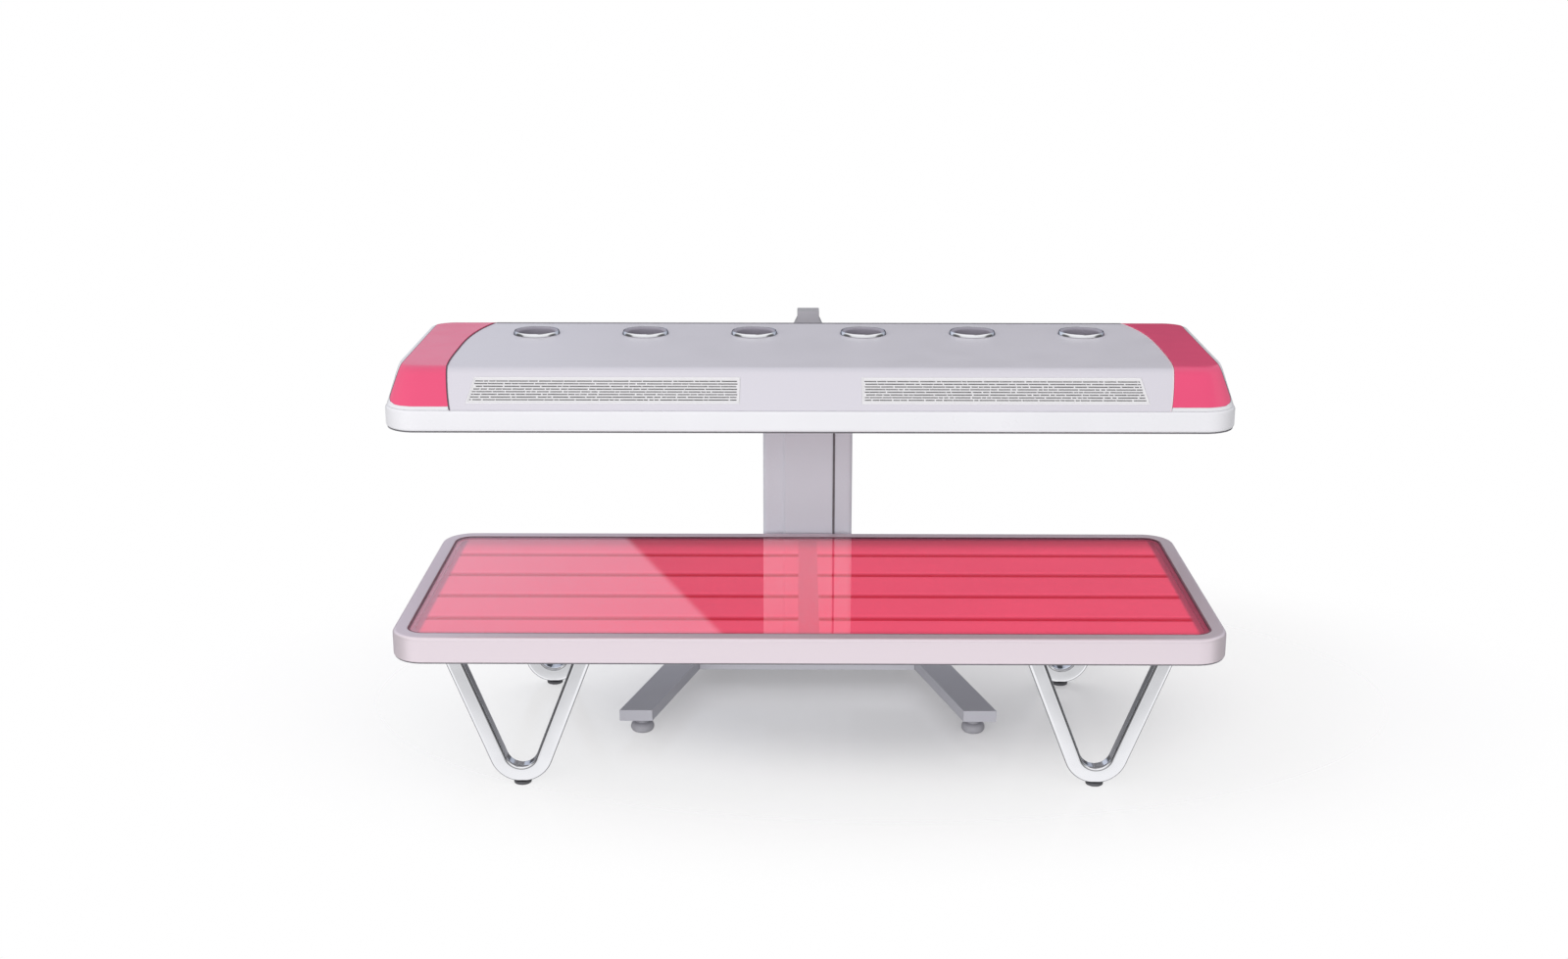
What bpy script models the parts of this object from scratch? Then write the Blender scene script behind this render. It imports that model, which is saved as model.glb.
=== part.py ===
"""Light therapy bed: a low bench, a lifting canopy and the column stand behind them.

Metres, +Z up. +X runs along the bed and -Y faces the user. The origin is on the floor,
below the middle of the whole object. Left and right are as the user sees them.
"""
import math

import bmesh
import bpy
from mathutils import Matrix, Vector

# Gap between pieces that rest on each other, and gap of pieces that slide or turn
FIT = 0.0003
RUN = 0.0006

# Bench frame
BENCH_LENGTH = 2.000
BENCH_DEPTH = 0.843
BENCH_TOP = 0.409
BENCH_FRONT_Y = -0.510
FRAME_HEIGHT = 0.064
FRAME_CORNER = 0.080
FRAME_WALL = 0.004
FRAME_FLANGE = 0.040
RIM_WIDTH = 0.035
RIM_EDGE = 0.009
FRAME_LOWER_EDGE = 0.006
LEDGE_WIDTH = 0.016
LEDGE_THICK = 0.004

# Clear top sheet and its seal
GLASS_THICK = 0.010
GLASS_RECESS = 0.001
SEAL_LIP = 0.0035
SEAL_PAD = 0.0015

# Lamp panels under the top sheet
PANEL_AIR = 0.0015
PANEL_THICK = 0.012
PANEL_GROOVE_WIDTH = 0.014
PANEL_GROOVE_DEPTH = 0.004
PANEL_GROOVE_PITCH = 0.167
PANEL_GROOVES = 4
PANEL_END_BAND = 0.045
PANEL_BAND_DEPTH = 0.005
PANEL_SIDE_CLEARANCE = 0.0005

# Bench inside
PAN_THICK = 0.002
RAIL_TOP_WIDTH = 0.350
RAIL_FLANGE = 0.025
RAIL_SHEET = 0.003
CENTRE_RAIL_WIDTH = 0.050
CENTRE_RAIL_WEB = 0.024
CENTRE_RAIL_FLANGE = 0.020
DRIVER_LENGTH = 0.240
DRIVER_DEPTH = 0.110
DRIVER_HEIGHT = 0.026
DRIVER_X = 0.300

# Bent tube legs
LEG_FROM_END = 0.297
LEG_INSET = 0.090
LEG_TUBE = 0.040
LEG_WALL = 0.002
LEG_EDGE = 0.009
LEG_HALF_SPREAD = 0.185
LEG_BEND_RADIUS = 0.059
LEG_PLATE_DEPTH = 0.070
LEG_PLATE_THICK = 0.006
LEG_PLATE_MARGIN = 0.015
LEG_PLATE_WELD = 0.002
FOOT_RADIUS = 0.0215
FOOT_HEIGHT = 0.008
FOOT_CHAMFER = 0.002
FOOT_STEM_RADIUS = 0.005
FOOT_STEM_LENGTH = 0.020

# Stand base
COLUMN_BEHIND_BENCH = 0.022
BASE_CLEARANCE = 0.044
BASE_HEIGHT = 0.030
BASE_REACH = 0.494
BASE_TAIL = 0.025
BASE_LEG_WIDTH = 0.085
BASE_LEG_SPREAD = 0.446
BASE_SPLAY = math.radians(15.9)
BASE_SHEET = 0.004
BASE_BOSS_LENGTH = 0.070
BEAM_REACH = 0.127
LEVELLER_FROM_END = 0.046
LEVELLER_RADIUS = 0.0305
LEVELLER_DISC = 0.012
LEVELLER_EDGE = 0.003
LEVELLER_NECK_RADIUS = 0.0105
LEVELLER_STUD_RADIUS = 0.006
LEVELLER_STUD_REACH = 0.024

# Column and lift
COLUMN_WIDTH = 0.246
COLUMN_DEPTH = 0.130
COLUMN_WALL = 0.006
COLUMN_CORNER = 0.012
COLUMN_TOP = 0.715
STRIP_WIDTH = 0.138
STRIP_PROUD = 0.008
STRIP_EDGE = 0.003
COLLAR_HEIGHT = 0.020
COLLAR_PROUD = 0.002
MAST_INSET = 0.022
MAST_WALL = 0.005
MAST_BOTTOM = 0.305
SHOE_HEIGHT = 0.050
ACTUATOR_RADIUS = 0.024
ACTUATOR_TOP = 0.620
ACTUATOR_FLOOR = 0.012
ROD_RADIUS = 0.0155
ROD_BOTTOM = 0.300
MOTOR_RADIUS = 0.022
MOTOR_OFFSET = 0.055
MOTOR_HEIGHT = 0.110
GEARBOX_HEIGHT = 0.040
GEARBOX_DEPTH = 0.056

# Mains inlet and power switch on the column's back
SERVICE_HEIGHT = 0.046
SERVICE_OFFSET = 0.045
INLET_WIDTH = 0.0405
INLET_HEIGHT = 0.0235
INLET_DEPTH = 0.024
INLET_FLANGE = 0.005
INLET_FLANGE_THICK = 0.003
INLET_SOCKET_WALL = 0.004
INLET_SOCKET_DEPTH = 0.020
INLET_PIN_PITCH = 0.007
INLET_PIN_WIDTH = 0.002
INLET_PIN_HEIGHT = 0.004
INLET_PIN_LENGTH = 0.014
SWITCH_WIDTH = 0.019
SWITCH_HEIGHT = 0.026
SWITCH_DEPTH = 0.016
SWITCH_FLANGE = 0.003
SWITCH_FLANGE_THICK = 0.002
SWITCH_WALL = 0.0025
SWITCH_POCKET_DEPTH = 0.011
ROCKER_END_CLEARANCE = 0.0012
ROCKER_BACK_RADIUS = 0.006
ROCKER_BACK_ARC = math.radians(45)
ROCKER_STAND_OUT = 0.004
ROCKER_DIP = 0.0015
ROCKER_THICK = 0.005

# Canopy rim tray
CANOPY_LENGTH = 2.000
CANOPY_DEPTH = 0.782
CANOPY_SETBACK = 0.002
CANOPY_UNDERSIDE = 0.897
TRAY_HEIGHT = 0.0515
TRAY_CORNER = 0.080
TRAY_WALL = 0.004
TRAY_EDGE = 0.008
TRAY_TOP_FLANGE = 0.030
TRAY_BOTTOM_FLANGE = 0.050
TRAY_FLANGE_THICK = 0.005

# Canopy cover, its end caps and the curved seam between them
CANOPY_HEIGHT = 0.128
SLOPE_RUN = 0.112
COVER_SETBACK = 0.003
COVER_WALL = 0.0025
COVER_CREASE_RADIUS = 0.030
CAP_PROUD = 0.002
CAP_SETBACK = 0.0035
CAP_WALL = 0.003
CAP_END_DRAFT = 0.016
CAP_TOP_CORNER = 0.055
CAP_CREASE_RADIUS = 0.020
SEAM_X = 0.867
SEAM_FROM_FRONT = 0.311
SEAM_RADIUS = 1.000
SEAM_GAP = 0.0010

# Vent grilles on the front slope
GRILLE_OUTER = 0.788
GRILLE_INNER_LEFT = 0.163
GRILLE_INNER_RIGHT = 0.122
GRILLE_HEIGHT = 0.084
GRILLE_FROM_CREASE = 0.028
GRILLE_ROWS = 8
GRILLE_SLOTS = 5
GRILLE_BORDER = 0.007
GRILLE_SLOT_HEIGHT = 0.0045
GRILLE_BRIDGE = 0.010

# Fans
FAN_COUNT = 6
FAN_PITCH = 0.279
FAN_FROM_BACK = 0.258
RING_RADIUS = 0.0595
RING_HEIGHT = 0.009
RING_BEVEL = 0.004
RING_FACE = 0.006
SLEEVE_RADIUS = 0.0485
SLEEVE_WALL = 0.0025
SLEEVE_DEPTH = 0.014
ROTOR_RADIUS = 0.042
ROTOR_HUB_RADIUS = 0.018
ROTOR_HUB_HEIGHT = 0.020
ROTOR_BLADES = 7
ROTOR_BLADE_THICK = 0.002
ROTOR_BLADE_PITCH = math.radians(35)
ROTOR_BLADE_CHORD = 0.018
ROTOR_ROOT_CHORD = 0.0126
DECK_DROP = 0.036
DECK_SHEET = 0.0015
DECK_MARGIN = 0.008
DECK_SPOKES = 3
DECK_SPOKE_WIDTH = 0.008
DECK_HUB_RADIUS = 0.017

# Canopy inside
DIFFUSER_SEAL = 0.002
DIFFUSER_THICK = 0.006
DIFFUSER_MARGIN = 0.002
CANOPY_PANEL_THICK = 0.010
CANOPY_PANEL_INSET = 0.054
CANOPY_PANEL_GAP = 0.002
CANOPY_DRIVER_HEIGHT = 0.024
CANOPY_DRIVER_X = 0.450

# Bracket that carries the canopy on the mast
ARM_X = 0.070
ARM_WIDTH = 0.050
ARM_HEIGHT = 0.020
ARM_REACH = 0.640
BRIDGE_WIDTH = 0.220
HEAD_MARGIN = 0.002
HEAD_HEIGHT = 0.040
POST_WIDTH = 0.059
POST_DEPTH = 0.055
POST_FLARE = 0.012
POST_FOOT_FLARE = 0.040
POST_FLARE_DROP = 0.033
POST_EDGE = 0.004

# Facets
CORNER_STEPS = 5
EDGE_STEPS = 3
SMALL_EDGE_STEPS = 2
ROUND_STEPS = 20
BEND_STEPS = 6
SEAM_STEPS = 18
LEAST_CORNER = 0.004
SHARP_ANGLE = math.radians(35)

# Places worked out from the sizes above
BENCH_Y = BENCH_FRONT_Y + BENCH_DEPTH / 2
FRAME_BOTTOM = BENCH_TOP - FRAME_HEIGHT
GLASS_TOP = BENCH_TOP - GLASS_RECESS
GLASS_BOTTOM = GLASS_TOP - GLASS_THICK
LEDGE_TOP = GLASS_BOTTOM - SEAL_PAD - 2 * FIT
LEDGE_INSET = RIM_WIDTH + LEDGE_WIDTH
PANEL_TOP = GLASS_BOTTOM - PANEL_AIR
PANEL_BOTTOM = PANEL_TOP - PANEL_THICK
PAN_BOTTOM = FRAME_BOTTOM + FRAME_WALL + FIT
PAN_TOP = PAN_BOTTOM + PAN_THICK
RAIL_BOTTOM = PAN_TOP + FIT
RAIL_TOP = PANEL_BOTTOM - FIT
PANEL_HALF_DEPTH = BENCH_DEPTH / 2 - LEDGE_INSET - PANEL_SIDE_CLEARANCE
LEG_X = BENCH_LENGTH / 2 - LEG_FROM_END
LEG_Y = BENCH_DEPTH / 2 - LEG_INSET
COLUMN_Y = BENCH_FRONT_Y + BENCH_DEPTH + COLUMN_BEHIND_BENCH + COLUMN_DEPTH / 2
BASE_TOP = BASE_CLEARANCE + BASE_HEIGHT
SERVICE_Z = BASE_TOP + SERVICE_HEIGHT
BASE_FRONT = -COLUMN_DEPTH / 2 - BASE_REACH
BASE_BACK = COLUMN_DEPTH / 2 + BASE_TAIL
CANOPY_Y = BENCH_FRONT_Y + BENCH_DEPTH - CANOPY_SETBACK - CANOPY_DEPTH / 2
SLOPE_ANGLE = math.atan2(CANOPY_HEIGHT - TRAY_HEIGHT - FIT, SLOPE_RUN - COVER_SETBACK)
FAN_Y = CANOPY_DEPTH / 2 - FAN_FROM_BACK
DIFFUSER_BOTTOM = TRAY_FLANGE_THICK + DIFFUSER_SEAL + 2 * FIT
CANOPY_PANEL_BOTTOM = DIFFUSER_BOTTOM + DIFFUSER_THICK + FIT
CANOPY_PANEL_TOP = CANOPY_PANEL_BOTTOM + CANOPY_PANEL_THICK
ARM_BOTTOM = CANOPY_PANEL_TOP + FIT
DECK_TOP = CANOPY_HEIGHT - DECK_DROP
MAST_TOP = CANOPY_UNDERSIDE + ARM_BOTTOM - FIT
SIDES = (("left", -1), ("right", 1))
ENDS = (("front", -1), ("rear", 1))


def clear_scene():
    """Remove every object of the open scene."""
    for obj in list(bpy.data.objects):
        bpy.data.objects.remove(obj)


def finish(name, colour, roughness, metallic=0.0, alpha=1.0):
    """A plain surface finish."""
    material = bpy.data.materials.new(name)
    material.use_nodes = True
    shader = material.node_tree.nodes["Principled BSDF"]
    shader.inputs["Base Color"].default_value = (*colour, 1.0)
    shader.inputs["Roughness"].default_value = roughness
    shader.inputs["Metallic"].default_value = metallic
    shader.inputs["Alpha"].default_value = alpha
    return material


def group(name, parent=None, location=(0, 0, 0)):
    """An empty that carries the pieces of one assembly."""
    empty = bpy.data.objects.new(name, None)
    bpy.context.scene.collection.objects.link(empty)
    empty.parent = parent
    empty.location = location
    return empty


def piece(name, bm, material, parent, location=(0, 0, 0), rotation=(0, 0, 0)):
    """Turn a bmesh into a named object, shaded smooth between its edges."""
    bmesh.ops.recalc_face_normals(bm, faces=bm.faces)
    mesh = bpy.data.meshes.new(name)
    bm.to_mesh(mesh)
    bm.free()
    mesh.materials.append(material)
    mesh.shade_smooth()
    mesh.set_sharp_from_angle(angle=SHARP_ANGLE)
    obj = bpy.data.objects.new(name, mesh)
    bpy.context.scene.collection.objects.link(obj)
    obj.parent = parent
    obj.location = location
    obj.rotation_euler = rotation
    return obj


def combine(obj, bm, operation):
    """Cut a hidden shape from an object, or join one to it."""
    label = obj.name + "_" + operation.lower() + str(len(obj.modifiers))
    tool = piece(label, bm, obj.active_material, obj.parent, obj.location, obj.rotation_euler)
    tool.hide_render = True
    tool.display_type = "WIRE"
    modifier = obj.modifiers.new(label, "BOOLEAN")
    modifier.operation = operation
    modifier.object = tool
    modifier.solver = "EXACT"


def loft(loops, ring=False, bm=None):
    """Skin loops of equal count, and close the ends or join them into a ring."""
    bm = bm or bmesh.new()
    rows = [[bm.verts.new(point) for point in loop] for loop in loops]
    count = len(rows[0])
    pairs = list(zip(rows, rows[1:]))
    if ring:
        pairs.append((rows[-1], rows[0]))
    for lower, upper in pairs:
        for i in range(count):
            j = (i + 1) % count
            bm.faces.new((lower[i], lower[j], upper[j], upper[i]))
    if not ring:
        bm.faces.new(list(reversed(rows[0])))
        bm.faces.new(rows[-1])
    return bm


def arc(centre, radius, start, end, steps):
    """Points on a circle from one angle to another."""
    angles = [start + (end - start) * i / steps for i in range(steps + 1)]
    return [(centre[0] + radius * math.cos(a), centre[1] + radius * math.sin(a)) for a in angles]


def rounded_rectangle(width, depth, radius, steps=CORNER_STEPS):
    """Plan outline of a rectangle with round corners, counter-clockwise."""
    points = []
    for index, (sx, sy) in enumerate(((1, 1), (-1, 1), (-1, -1), (1, -1))):
        centre = (sx * (width / 2 - radius), sy * (depth / 2 - radius))
        points += arc(centre, radius, index * math.pi / 2, (index + 1) * math.pi / 2, steps)
    return points


def level(outline, z):
    """Lift a plan outline to a height."""
    return [Vector((x, y, z)) for x, y in outline]


def prism(outline, bottom, top, bm=None):
    """A plan outline extruded upwards."""
    return loft([level(outline, bottom), level(outline, top)], bm=bm)


def box(x, y, z, bm=None):
    """A box between two limits on each axis."""
    outline = [(x[0], y[0]), (x[1], y[0]), (x[1], y[1]), (x[0], y[1])]
    return prism(outline, z[0], z[1], bm)


def along_y(section, start, end):
    """An X-Z section extruded along Y."""
    return loft([[Vector((x, y, z)) for x, z in section] for y in (start, end)])


def along_x(section, start, end, bm=None):
    """A Y-Z section extruded along X."""
    return loft([[Vector((x, y, z)) for y, z in section] for x in (start, end)], bm=bm)


def rim(length, depth, corner, section):
    """A closed section of insets and heights, carried round a rounded rectangle."""
    loops = []
    for inset, z in section:
        radius = max(corner - inset, LEAST_CORNER)
        loops.append(level(rounded_rectangle(length - 2 * inset, depth - 2 * inset, radius), z))
    return loft(loops, ring=True)


def sheet(length, depth, corner, inset, bottom, top):
    """A flat sheet set in from a rounded rectangle."""
    radius = max(corner - inset, LEAST_CORNER)
    return prism(rounded_rectangle(length - 2 * inset, depth - 2 * inset, radius), bottom, top)


def turned(profile, centre=(0, 0), ring=False, steps=ROUND_STEPS, bm=None):
    """Radii and heights turned about a vertical axis."""
    loops = []
    for radius, z in profile:
        circle = arc(centre, radius, 0, 2 * math.pi, steps)[:-1]
        loops.append(level(circle, z))
    return loft(loops, ring, bm)


def eased(points, radius, steps=EDGE_STEPS):
    """An open path with its inner corners rounded."""
    path = [Vector(points[0])]
    for before, corner, after in zip(points, points[1:], points[2:]):
        corner = Vector(corner)
        back = (Vector(before) - corner).normalized()
        ahead = (Vector(after) - corner).normalized()
        half = back.angle(ahead) / 2
        setback = radius / math.tan(half)
        middle = corner + (back + ahead).normalized() * radius / math.sin(half)
        spoke = corner + back * setback - middle
        turn = spoke.angle_signed(corner + ahead * setback - middle)
        for i in range(steps + 1):
            path.append(middle + Matrix.Rotation(-turn * i / steps, 2) @ spoke)
    path.append(Vector(points[-1]))
    return path


def grooved(panel, half_depth, x, open_side, surface, depth):
    """Cut the lengthwise grooves that part a lamp panel into strips."""
    bm = bmesh.new()
    for i in range(PANEL_GROOVES):
        y = (i - (PANEL_GROOVES - 1) / 2) * PANEL_GROOVE_PITCH
        edges = (y - PANEL_GROOVE_WIDTH / 2, y + PANEL_GROOVE_WIDTH / 2)
        if abs(y) < half_depth:
            z = sorted((surface - open_side * depth, surface + open_side * depth))
            box(x, edges, z, bm)
    combine(panel, bm, "DIFFERENCE")


def bench_frame(bench, finishes):
    """Rim frame: a C section with a ledge for the top sheet."""
    bottom = FRAME_BOTTOM
    top = BENCH_TOP
    section = arc((FRAME_LOWER_EDGE, bottom + FRAME_LOWER_EDGE), FRAME_LOWER_EDGE,
                  math.pi, 1.5 * math.pi, EDGE_STEPS)
    section += [(FRAME_FLANGE, bottom), (FRAME_FLANGE, bottom + FRAME_WALL)]
    section += [(FRAME_WALL, bottom + FRAME_WALL), (FRAME_WALL, LEDGE_TOP - LEDGE_THICK)]
    section += [(LEDGE_INSET, LEDGE_TOP - LEDGE_THICK), (LEDGE_INSET, LEDGE_TOP)]
    section += [(RIM_WIDTH, LEDGE_TOP), (RIM_WIDTH, top)]
    section += arc((RIM_EDGE, top - RIM_EDGE), RIM_EDGE, math.pi / 2, math.pi, EDGE_STEPS)
    piece("bench_frame", rim(BENCH_LENGTH, BENCH_DEPTH, FRAME_CORNER, section),
          finishes["silver"], bench)


def bench_top(bench, finishes):
    """Clear top sheet in its seal."""
    outer = RIM_WIDTH + FIT
    lip = outer + SEAL_LIP
    pad_bottom = LEDGE_TOP + FIT
    section = [(outer, pad_bottom), (LEDGE_INSET, pad_bottom), (LEDGE_INSET, pad_bottom + SEAL_PAD)]
    section += [(lip, pad_bottom + SEAL_PAD), (lip, GLASS_TOP), (outer, GLASS_TOP)]
    piece("bench_glass_seal", rim(BENCH_LENGTH, BENCH_DEPTH, FRAME_CORNER, section),
          finishes["rubber"], bench)
    glass = sheet(BENCH_LENGTH, BENCH_DEPTH, FRAME_CORNER, lip + FIT, GLASS_BOTTOM, GLASS_TOP)
    piece("bench_glass", glass, finishes["clear"], bench)


def bench_pan(bench, finishes):
    """Sheet pan on the frame's lower flange, with the lamp driver on it."""
    pan = sheet(BENCH_LENGTH, BENCH_DEPTH, FRAME_CORNER, FRAME_WALL + FIT, PAN_BOTTOM, PAN_TOP)
    piece("bench_pan", pan, finishes["sheet"], bench)
    driver = driver_box(RAIL_BOTTOM, DRIVER_HEIGHT)
    piece("bench_led_driver", driver, finishes["sheet"], bench, (DRIVER_X, 0, 0))


def driver_box(bottom, height):
    """Case of a lamp driver."""
    return box((-DRIVER_LENGTH / 2, DRIVER_LENGTH / 2), (-DRIVER_DEPTH / 2, DRIVER_DEPTH / 2),
               (bottom, bottom + height))


def bench_panels(bench, finishes):
    """Lamp panels left and right of the centre rail, with a low band at each outer end."""
    half_depth = PANEL_HALF_DEPTH
    start = CENTRE_RAIL_WIDTH / 2 + FIT
    end = BENCH_LENGTH / 2 - LEDGE_INSET - PANEL_SIDE_CLEARANCE
    strip_end = BENCH_LENGTH / 2 - RIM_WIDTH - PANEL_END_BAND
    for side, sign in SIDES:
        x = sorted((sign * start, sign * end))
        plate = box(x, (-half_depth, half_depth), (PANEL_BOTTOM, PANEL_TOP))
        panel = piece("bench_led_panel_" + side, plate, finishes["lamp"], bench)
        wide = (x[0] - PANEL_THICK, x[1] + PANEL_THICK)
        grooved(panel, half_depth, wide, 1, PANEL_TOP, PANEL_GROOVE_DEPTH)
        band = box(sorted((sign * strip_end, sign * (end + PANEL_THICK))),
                   (-half_depth - PANEL_THICK, half_depth + PANEL_THICK),
                   (PANEL_TOP - PANEL_BAND_DEPTH, PANEL_TOP + PANEL_THICK))
        combine(panel, band, "DIFFERENCE")


def bench_rails(bench, finishes):
    """Hat rails over the legs and the centre rail, from the pan up to the lamp panels."""
    lip = RAIL_BOTTOM + RAIL_SHEET
    shelf = RAIL_TOP - RAIL_SHEET
    hat = RAIL_TOP_WIDTH / 2
    web = hat - RAIL_SHEET
    flange = hat + RAIL_FLANGE
    half = [(web, shelf), (web, RAIL_BOTTOM), (flange, RAIL_BOTTOM), (flange, lip)]
    half += [(hat, lip), (hat, RAIL_TOP)]
    section = half + [(-x, z) for x, z in reversed(half)]
    end = BENCH_DEPTH / 2 - FRAME_WALL - 2 * FIT
    for side, sign in SIDES:
        piece("bench_cross_rail_" + side, along_y(section, -end, end), finishes["sheet"], bench,
              (sign * LEG_X, 0, 0))
    cap = CENTRE_RAIL_WIDTH / 2
    web = CENTRE_RAIL_WEB / 2
    flange = cap + CENTRE_RAIL_FLANGE
    half = [(flange, RAIL_BOTTOM), (flange, lip), (web, lip), (web, shelf)]
    half += [(flange, shelf), (flange, RAIL_TOP), (cap, RAIL_TOP), (cap, PANEL_TOP)]
    section = half + [(-x, z) for x, z in reversed(half)]
    piece("bench_centre_rail", along_y(section, -PANEL_HALF_DEPTH, PANEL_HALF_DEPTH),
          finishes["lamp"], bench)


def leg_tube_loops(bend, angle, arc_height, top, shrink):
    """Loops of a bent tube from one top end, round the bend, to the other."""
    width = LEG_TUBE - 2 * shrink
    section = rounded_rectangle(width, width, max(LEG_EDGE - shrink, LEG_WALL), SMALL_EDGE_STEPS)
    lean = Vector((math.sin(angle), 0, math.cos(angle)))
    loops = []
    for i in range(BEND_STEPS + 1):
        turn = -angle - (math.pi - 2 * angle) * i / BEND_STEPS
        out = Vector((math.cos(turn), 0, math.sin(turn)))
        centre = Vector((0, 0, arc_height))
        loops.append([centre + out * (bend + u) + Vector((0, v, 0)) for u, v in section])
    first = [p + lean * (top - p.z) / lean.z for p in loops[0]]
    lean.x = -lean.x
    last = [p + lean * (top - p.z) / lean.z for p in loops[-1]]
    return [first] + loops + [last]


def bench_legs(bench, finishes):
    """Four bent tube legs under their plates, with a glide foot each."""
    tube_bottom = FOOT_HEIGHT + FIT
    outer_radius = LEG_BEND_RADIUS + LEG_TUBE / 2
    arc_height = tube_bottom + outer_radius
    rise = FRAME_BOTTOM - arc_height
    reach = math.hypot(LEG_HALF_SPREAD, rise)
    angle = math.atan2(LEG_HALF_SPREAD, rise) - math.asin(outer_radius / reach)
    plate_top = PAN_BOTTOM - FIT
    plate_bottom = plate_top - LEG_PLATE_THICK
    tube_top = plate_bottom + LEG_PLATE_WELD
    plate_half = LEG_HALF_SPREAD + LEG_PLATE_MARGIN
    bore_radius = FOOT_STEM_RADIUS + FIT
    bore_top = tube_bottom + LEG_TUBE / 2
    for end, forward in ENDS:
        for side, sign in SIDES:
            place = (sign * LEG_X, forward * LEG_Y, 0)
            outer = leg_tube_loops(LEG_BEND_RADIUS, angle, arc_height, tube_top, 0)
            inner = leg_tube_loops(LEG_BEND_RADIUS, angle, arc_height, tube_top, LEG_WALL)
            leg = piece("bench_leg_%s_%s" % (end, side), loft(outer + inner[::-1], ring=True),
                        finishes["chrome"], bench, place)
            plate = box((-plate_half, plate_half), (-LEG_PLATE_DEPTH / 2, LEG_PLATE_DEPTH / 2),
                        (plate_bottom, plate_top))
            combine(leg, plate, "UNION")
            combine(leg, turned([(bore_radius, 0), (bore_radius, bore_top)]), "DIFFERENCE")
            profile = [(FOOT_RADIUS - FOOT_CHAMFER, 0), (FOOT_RADIUS, FOOT_CHAMFER)]
            profile += [(FOOT_RADIUS, FOOT_HEIGHT), (FOOT_STEM_RADIUS, FOOT_HEIGHT)]
            profile += [(FOOT_STEM_RADIUS, FOOT_HEIGHT + FOOT_STEM_LENGTH)]
            piece("bench_foot_%s_%s" % (end, side), turned(profile), finishes["rubber"], bench, place)


def base_leg_x(y):
    """Distance of a base leg's centre line from the middle, at a depth."""
    return BASE_LEG_SPREAD - (y - BASE_FRONT) * math.tan(BASE_SPLAY)


def base_leg_outline(sign, start, end, inset):
    """Plan of a stretch of a splayed base leg, inset from its long sides."""
    points = []
    half = BASE_LEG_WIDTH / 2 - inset
    for y, edge in ((start, 1), (end, 1), (end, -1), (start, -1)):
        x = base_leg_x(y) + edge * half
        points.append((sign * x, y))
    return points


def base_feet():
    """Name and depth of each pair of levelling feet."""
    return (("front", BASE_FRONT + LEVELLER_FROM_END), ("rear", BASE_BACK - LEVELLER_FROM_END))


def base_legs(stand, finishes):
    """Splayed legs of bent sheet, with a solid block over each levelling foot."""
    roof = BASE_TOP - BASE_SHEET
    below = BASE_CLEARANCE - BASE_SHEET
    front, rear = [y for end, y in base_feet()]
    block = BASE_BOSS_LENGTH / 2
    bore = LEVELLER_STUD_RADIUS + RUN
    bore_top = BASE_CLEARANCE + LEVELLER_STUD_REACH + RUN
    for side, sign in SIDES:
        outline = base_leg_outline(sign, BASE_FRONT, BASE_BACK, 0)
        leg = piece("base_leg_" + side, prism(outline, BASE_CLEARANCE, BASE_TOP), finishes["grey"], stand)
        pocket = base_leg_outline(sign, front + block, rear - block, BASE_SHEET)
        combine(leg, prism(pocket, below, roof), "DIFFERENCE")
        for y in (front, rear):
            place = (sign * base_leg_x(y), y)
            combine(leg, turned([(bore, below), (bore, bore_top)], place), "DIFFERENCE")


def levelling_feet(stand, finishes):
    """A disc, a neck and a stud at both ends of each base leg."""
    neck_top = BASE_CLEARANCE - FIT
    edge = LEVELLER_EDGE
    profile = [(LEVELLER_RADIUS - edge, 0), (LEVELLER_RADIUS, edge)]
    profile += [(LEVELLER_RADIUS, LEVELLER_DISC - edge), (LEVELLER_RADIUS - edge, LEVELLER_DISC)]
    profile += [(LEVELLER_NECK_RADIUS, LEVELLER_DISC + edge), (LEVELLER_NECK_RADIUS, neck_top)]
    stud_top = BASE_CLEARANCE + LEVELLER_STUD_REACH
    profile += [(LEVELLER_STUD_RADIUS, neck_top), (LEVELLER_STUD_RADIUS, stud_top)]
    for end, y in base_feet():
        for side, sign in SIDES:
            piece("levelling_foot_%s_%s" % (end, side), turned(profile), finishes["steel"], stand,
                  (sign * base_leg_x(y), y, 0))


def crossbeam(stand, finishes):
    """Wide beam between the legs, open below, which carries the column."""
    front = -COLUMN_DEPTH / 2 - BEAM_REACH
    outline = []
    pocket = []
    for y, shift, sign in ((front, 1, 1), (BASE_BACK, -1, 1), (BASE_BACK, -1, -1), (front, 1, -1)):
        x = base_leg_x(y) - BASE_LEG_WIDTH / 2 - 2 * FIT
        outline.append((sign * x, y))
        pocket.append((sign * (x - 2 * BASE_SHEET), y + shift * BASE_SHEET))
    beam = piece("base_crossbeam", prism(outline, BASE_CLEARANCE, BASE_TOP), finishes["grey"], stand)
    combine(beam, prism(pocket, BASE_CLEARANCE - BASE_SHEET, BASE_TOP - BASE_SHEET), "DIFFERENCE")


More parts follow.
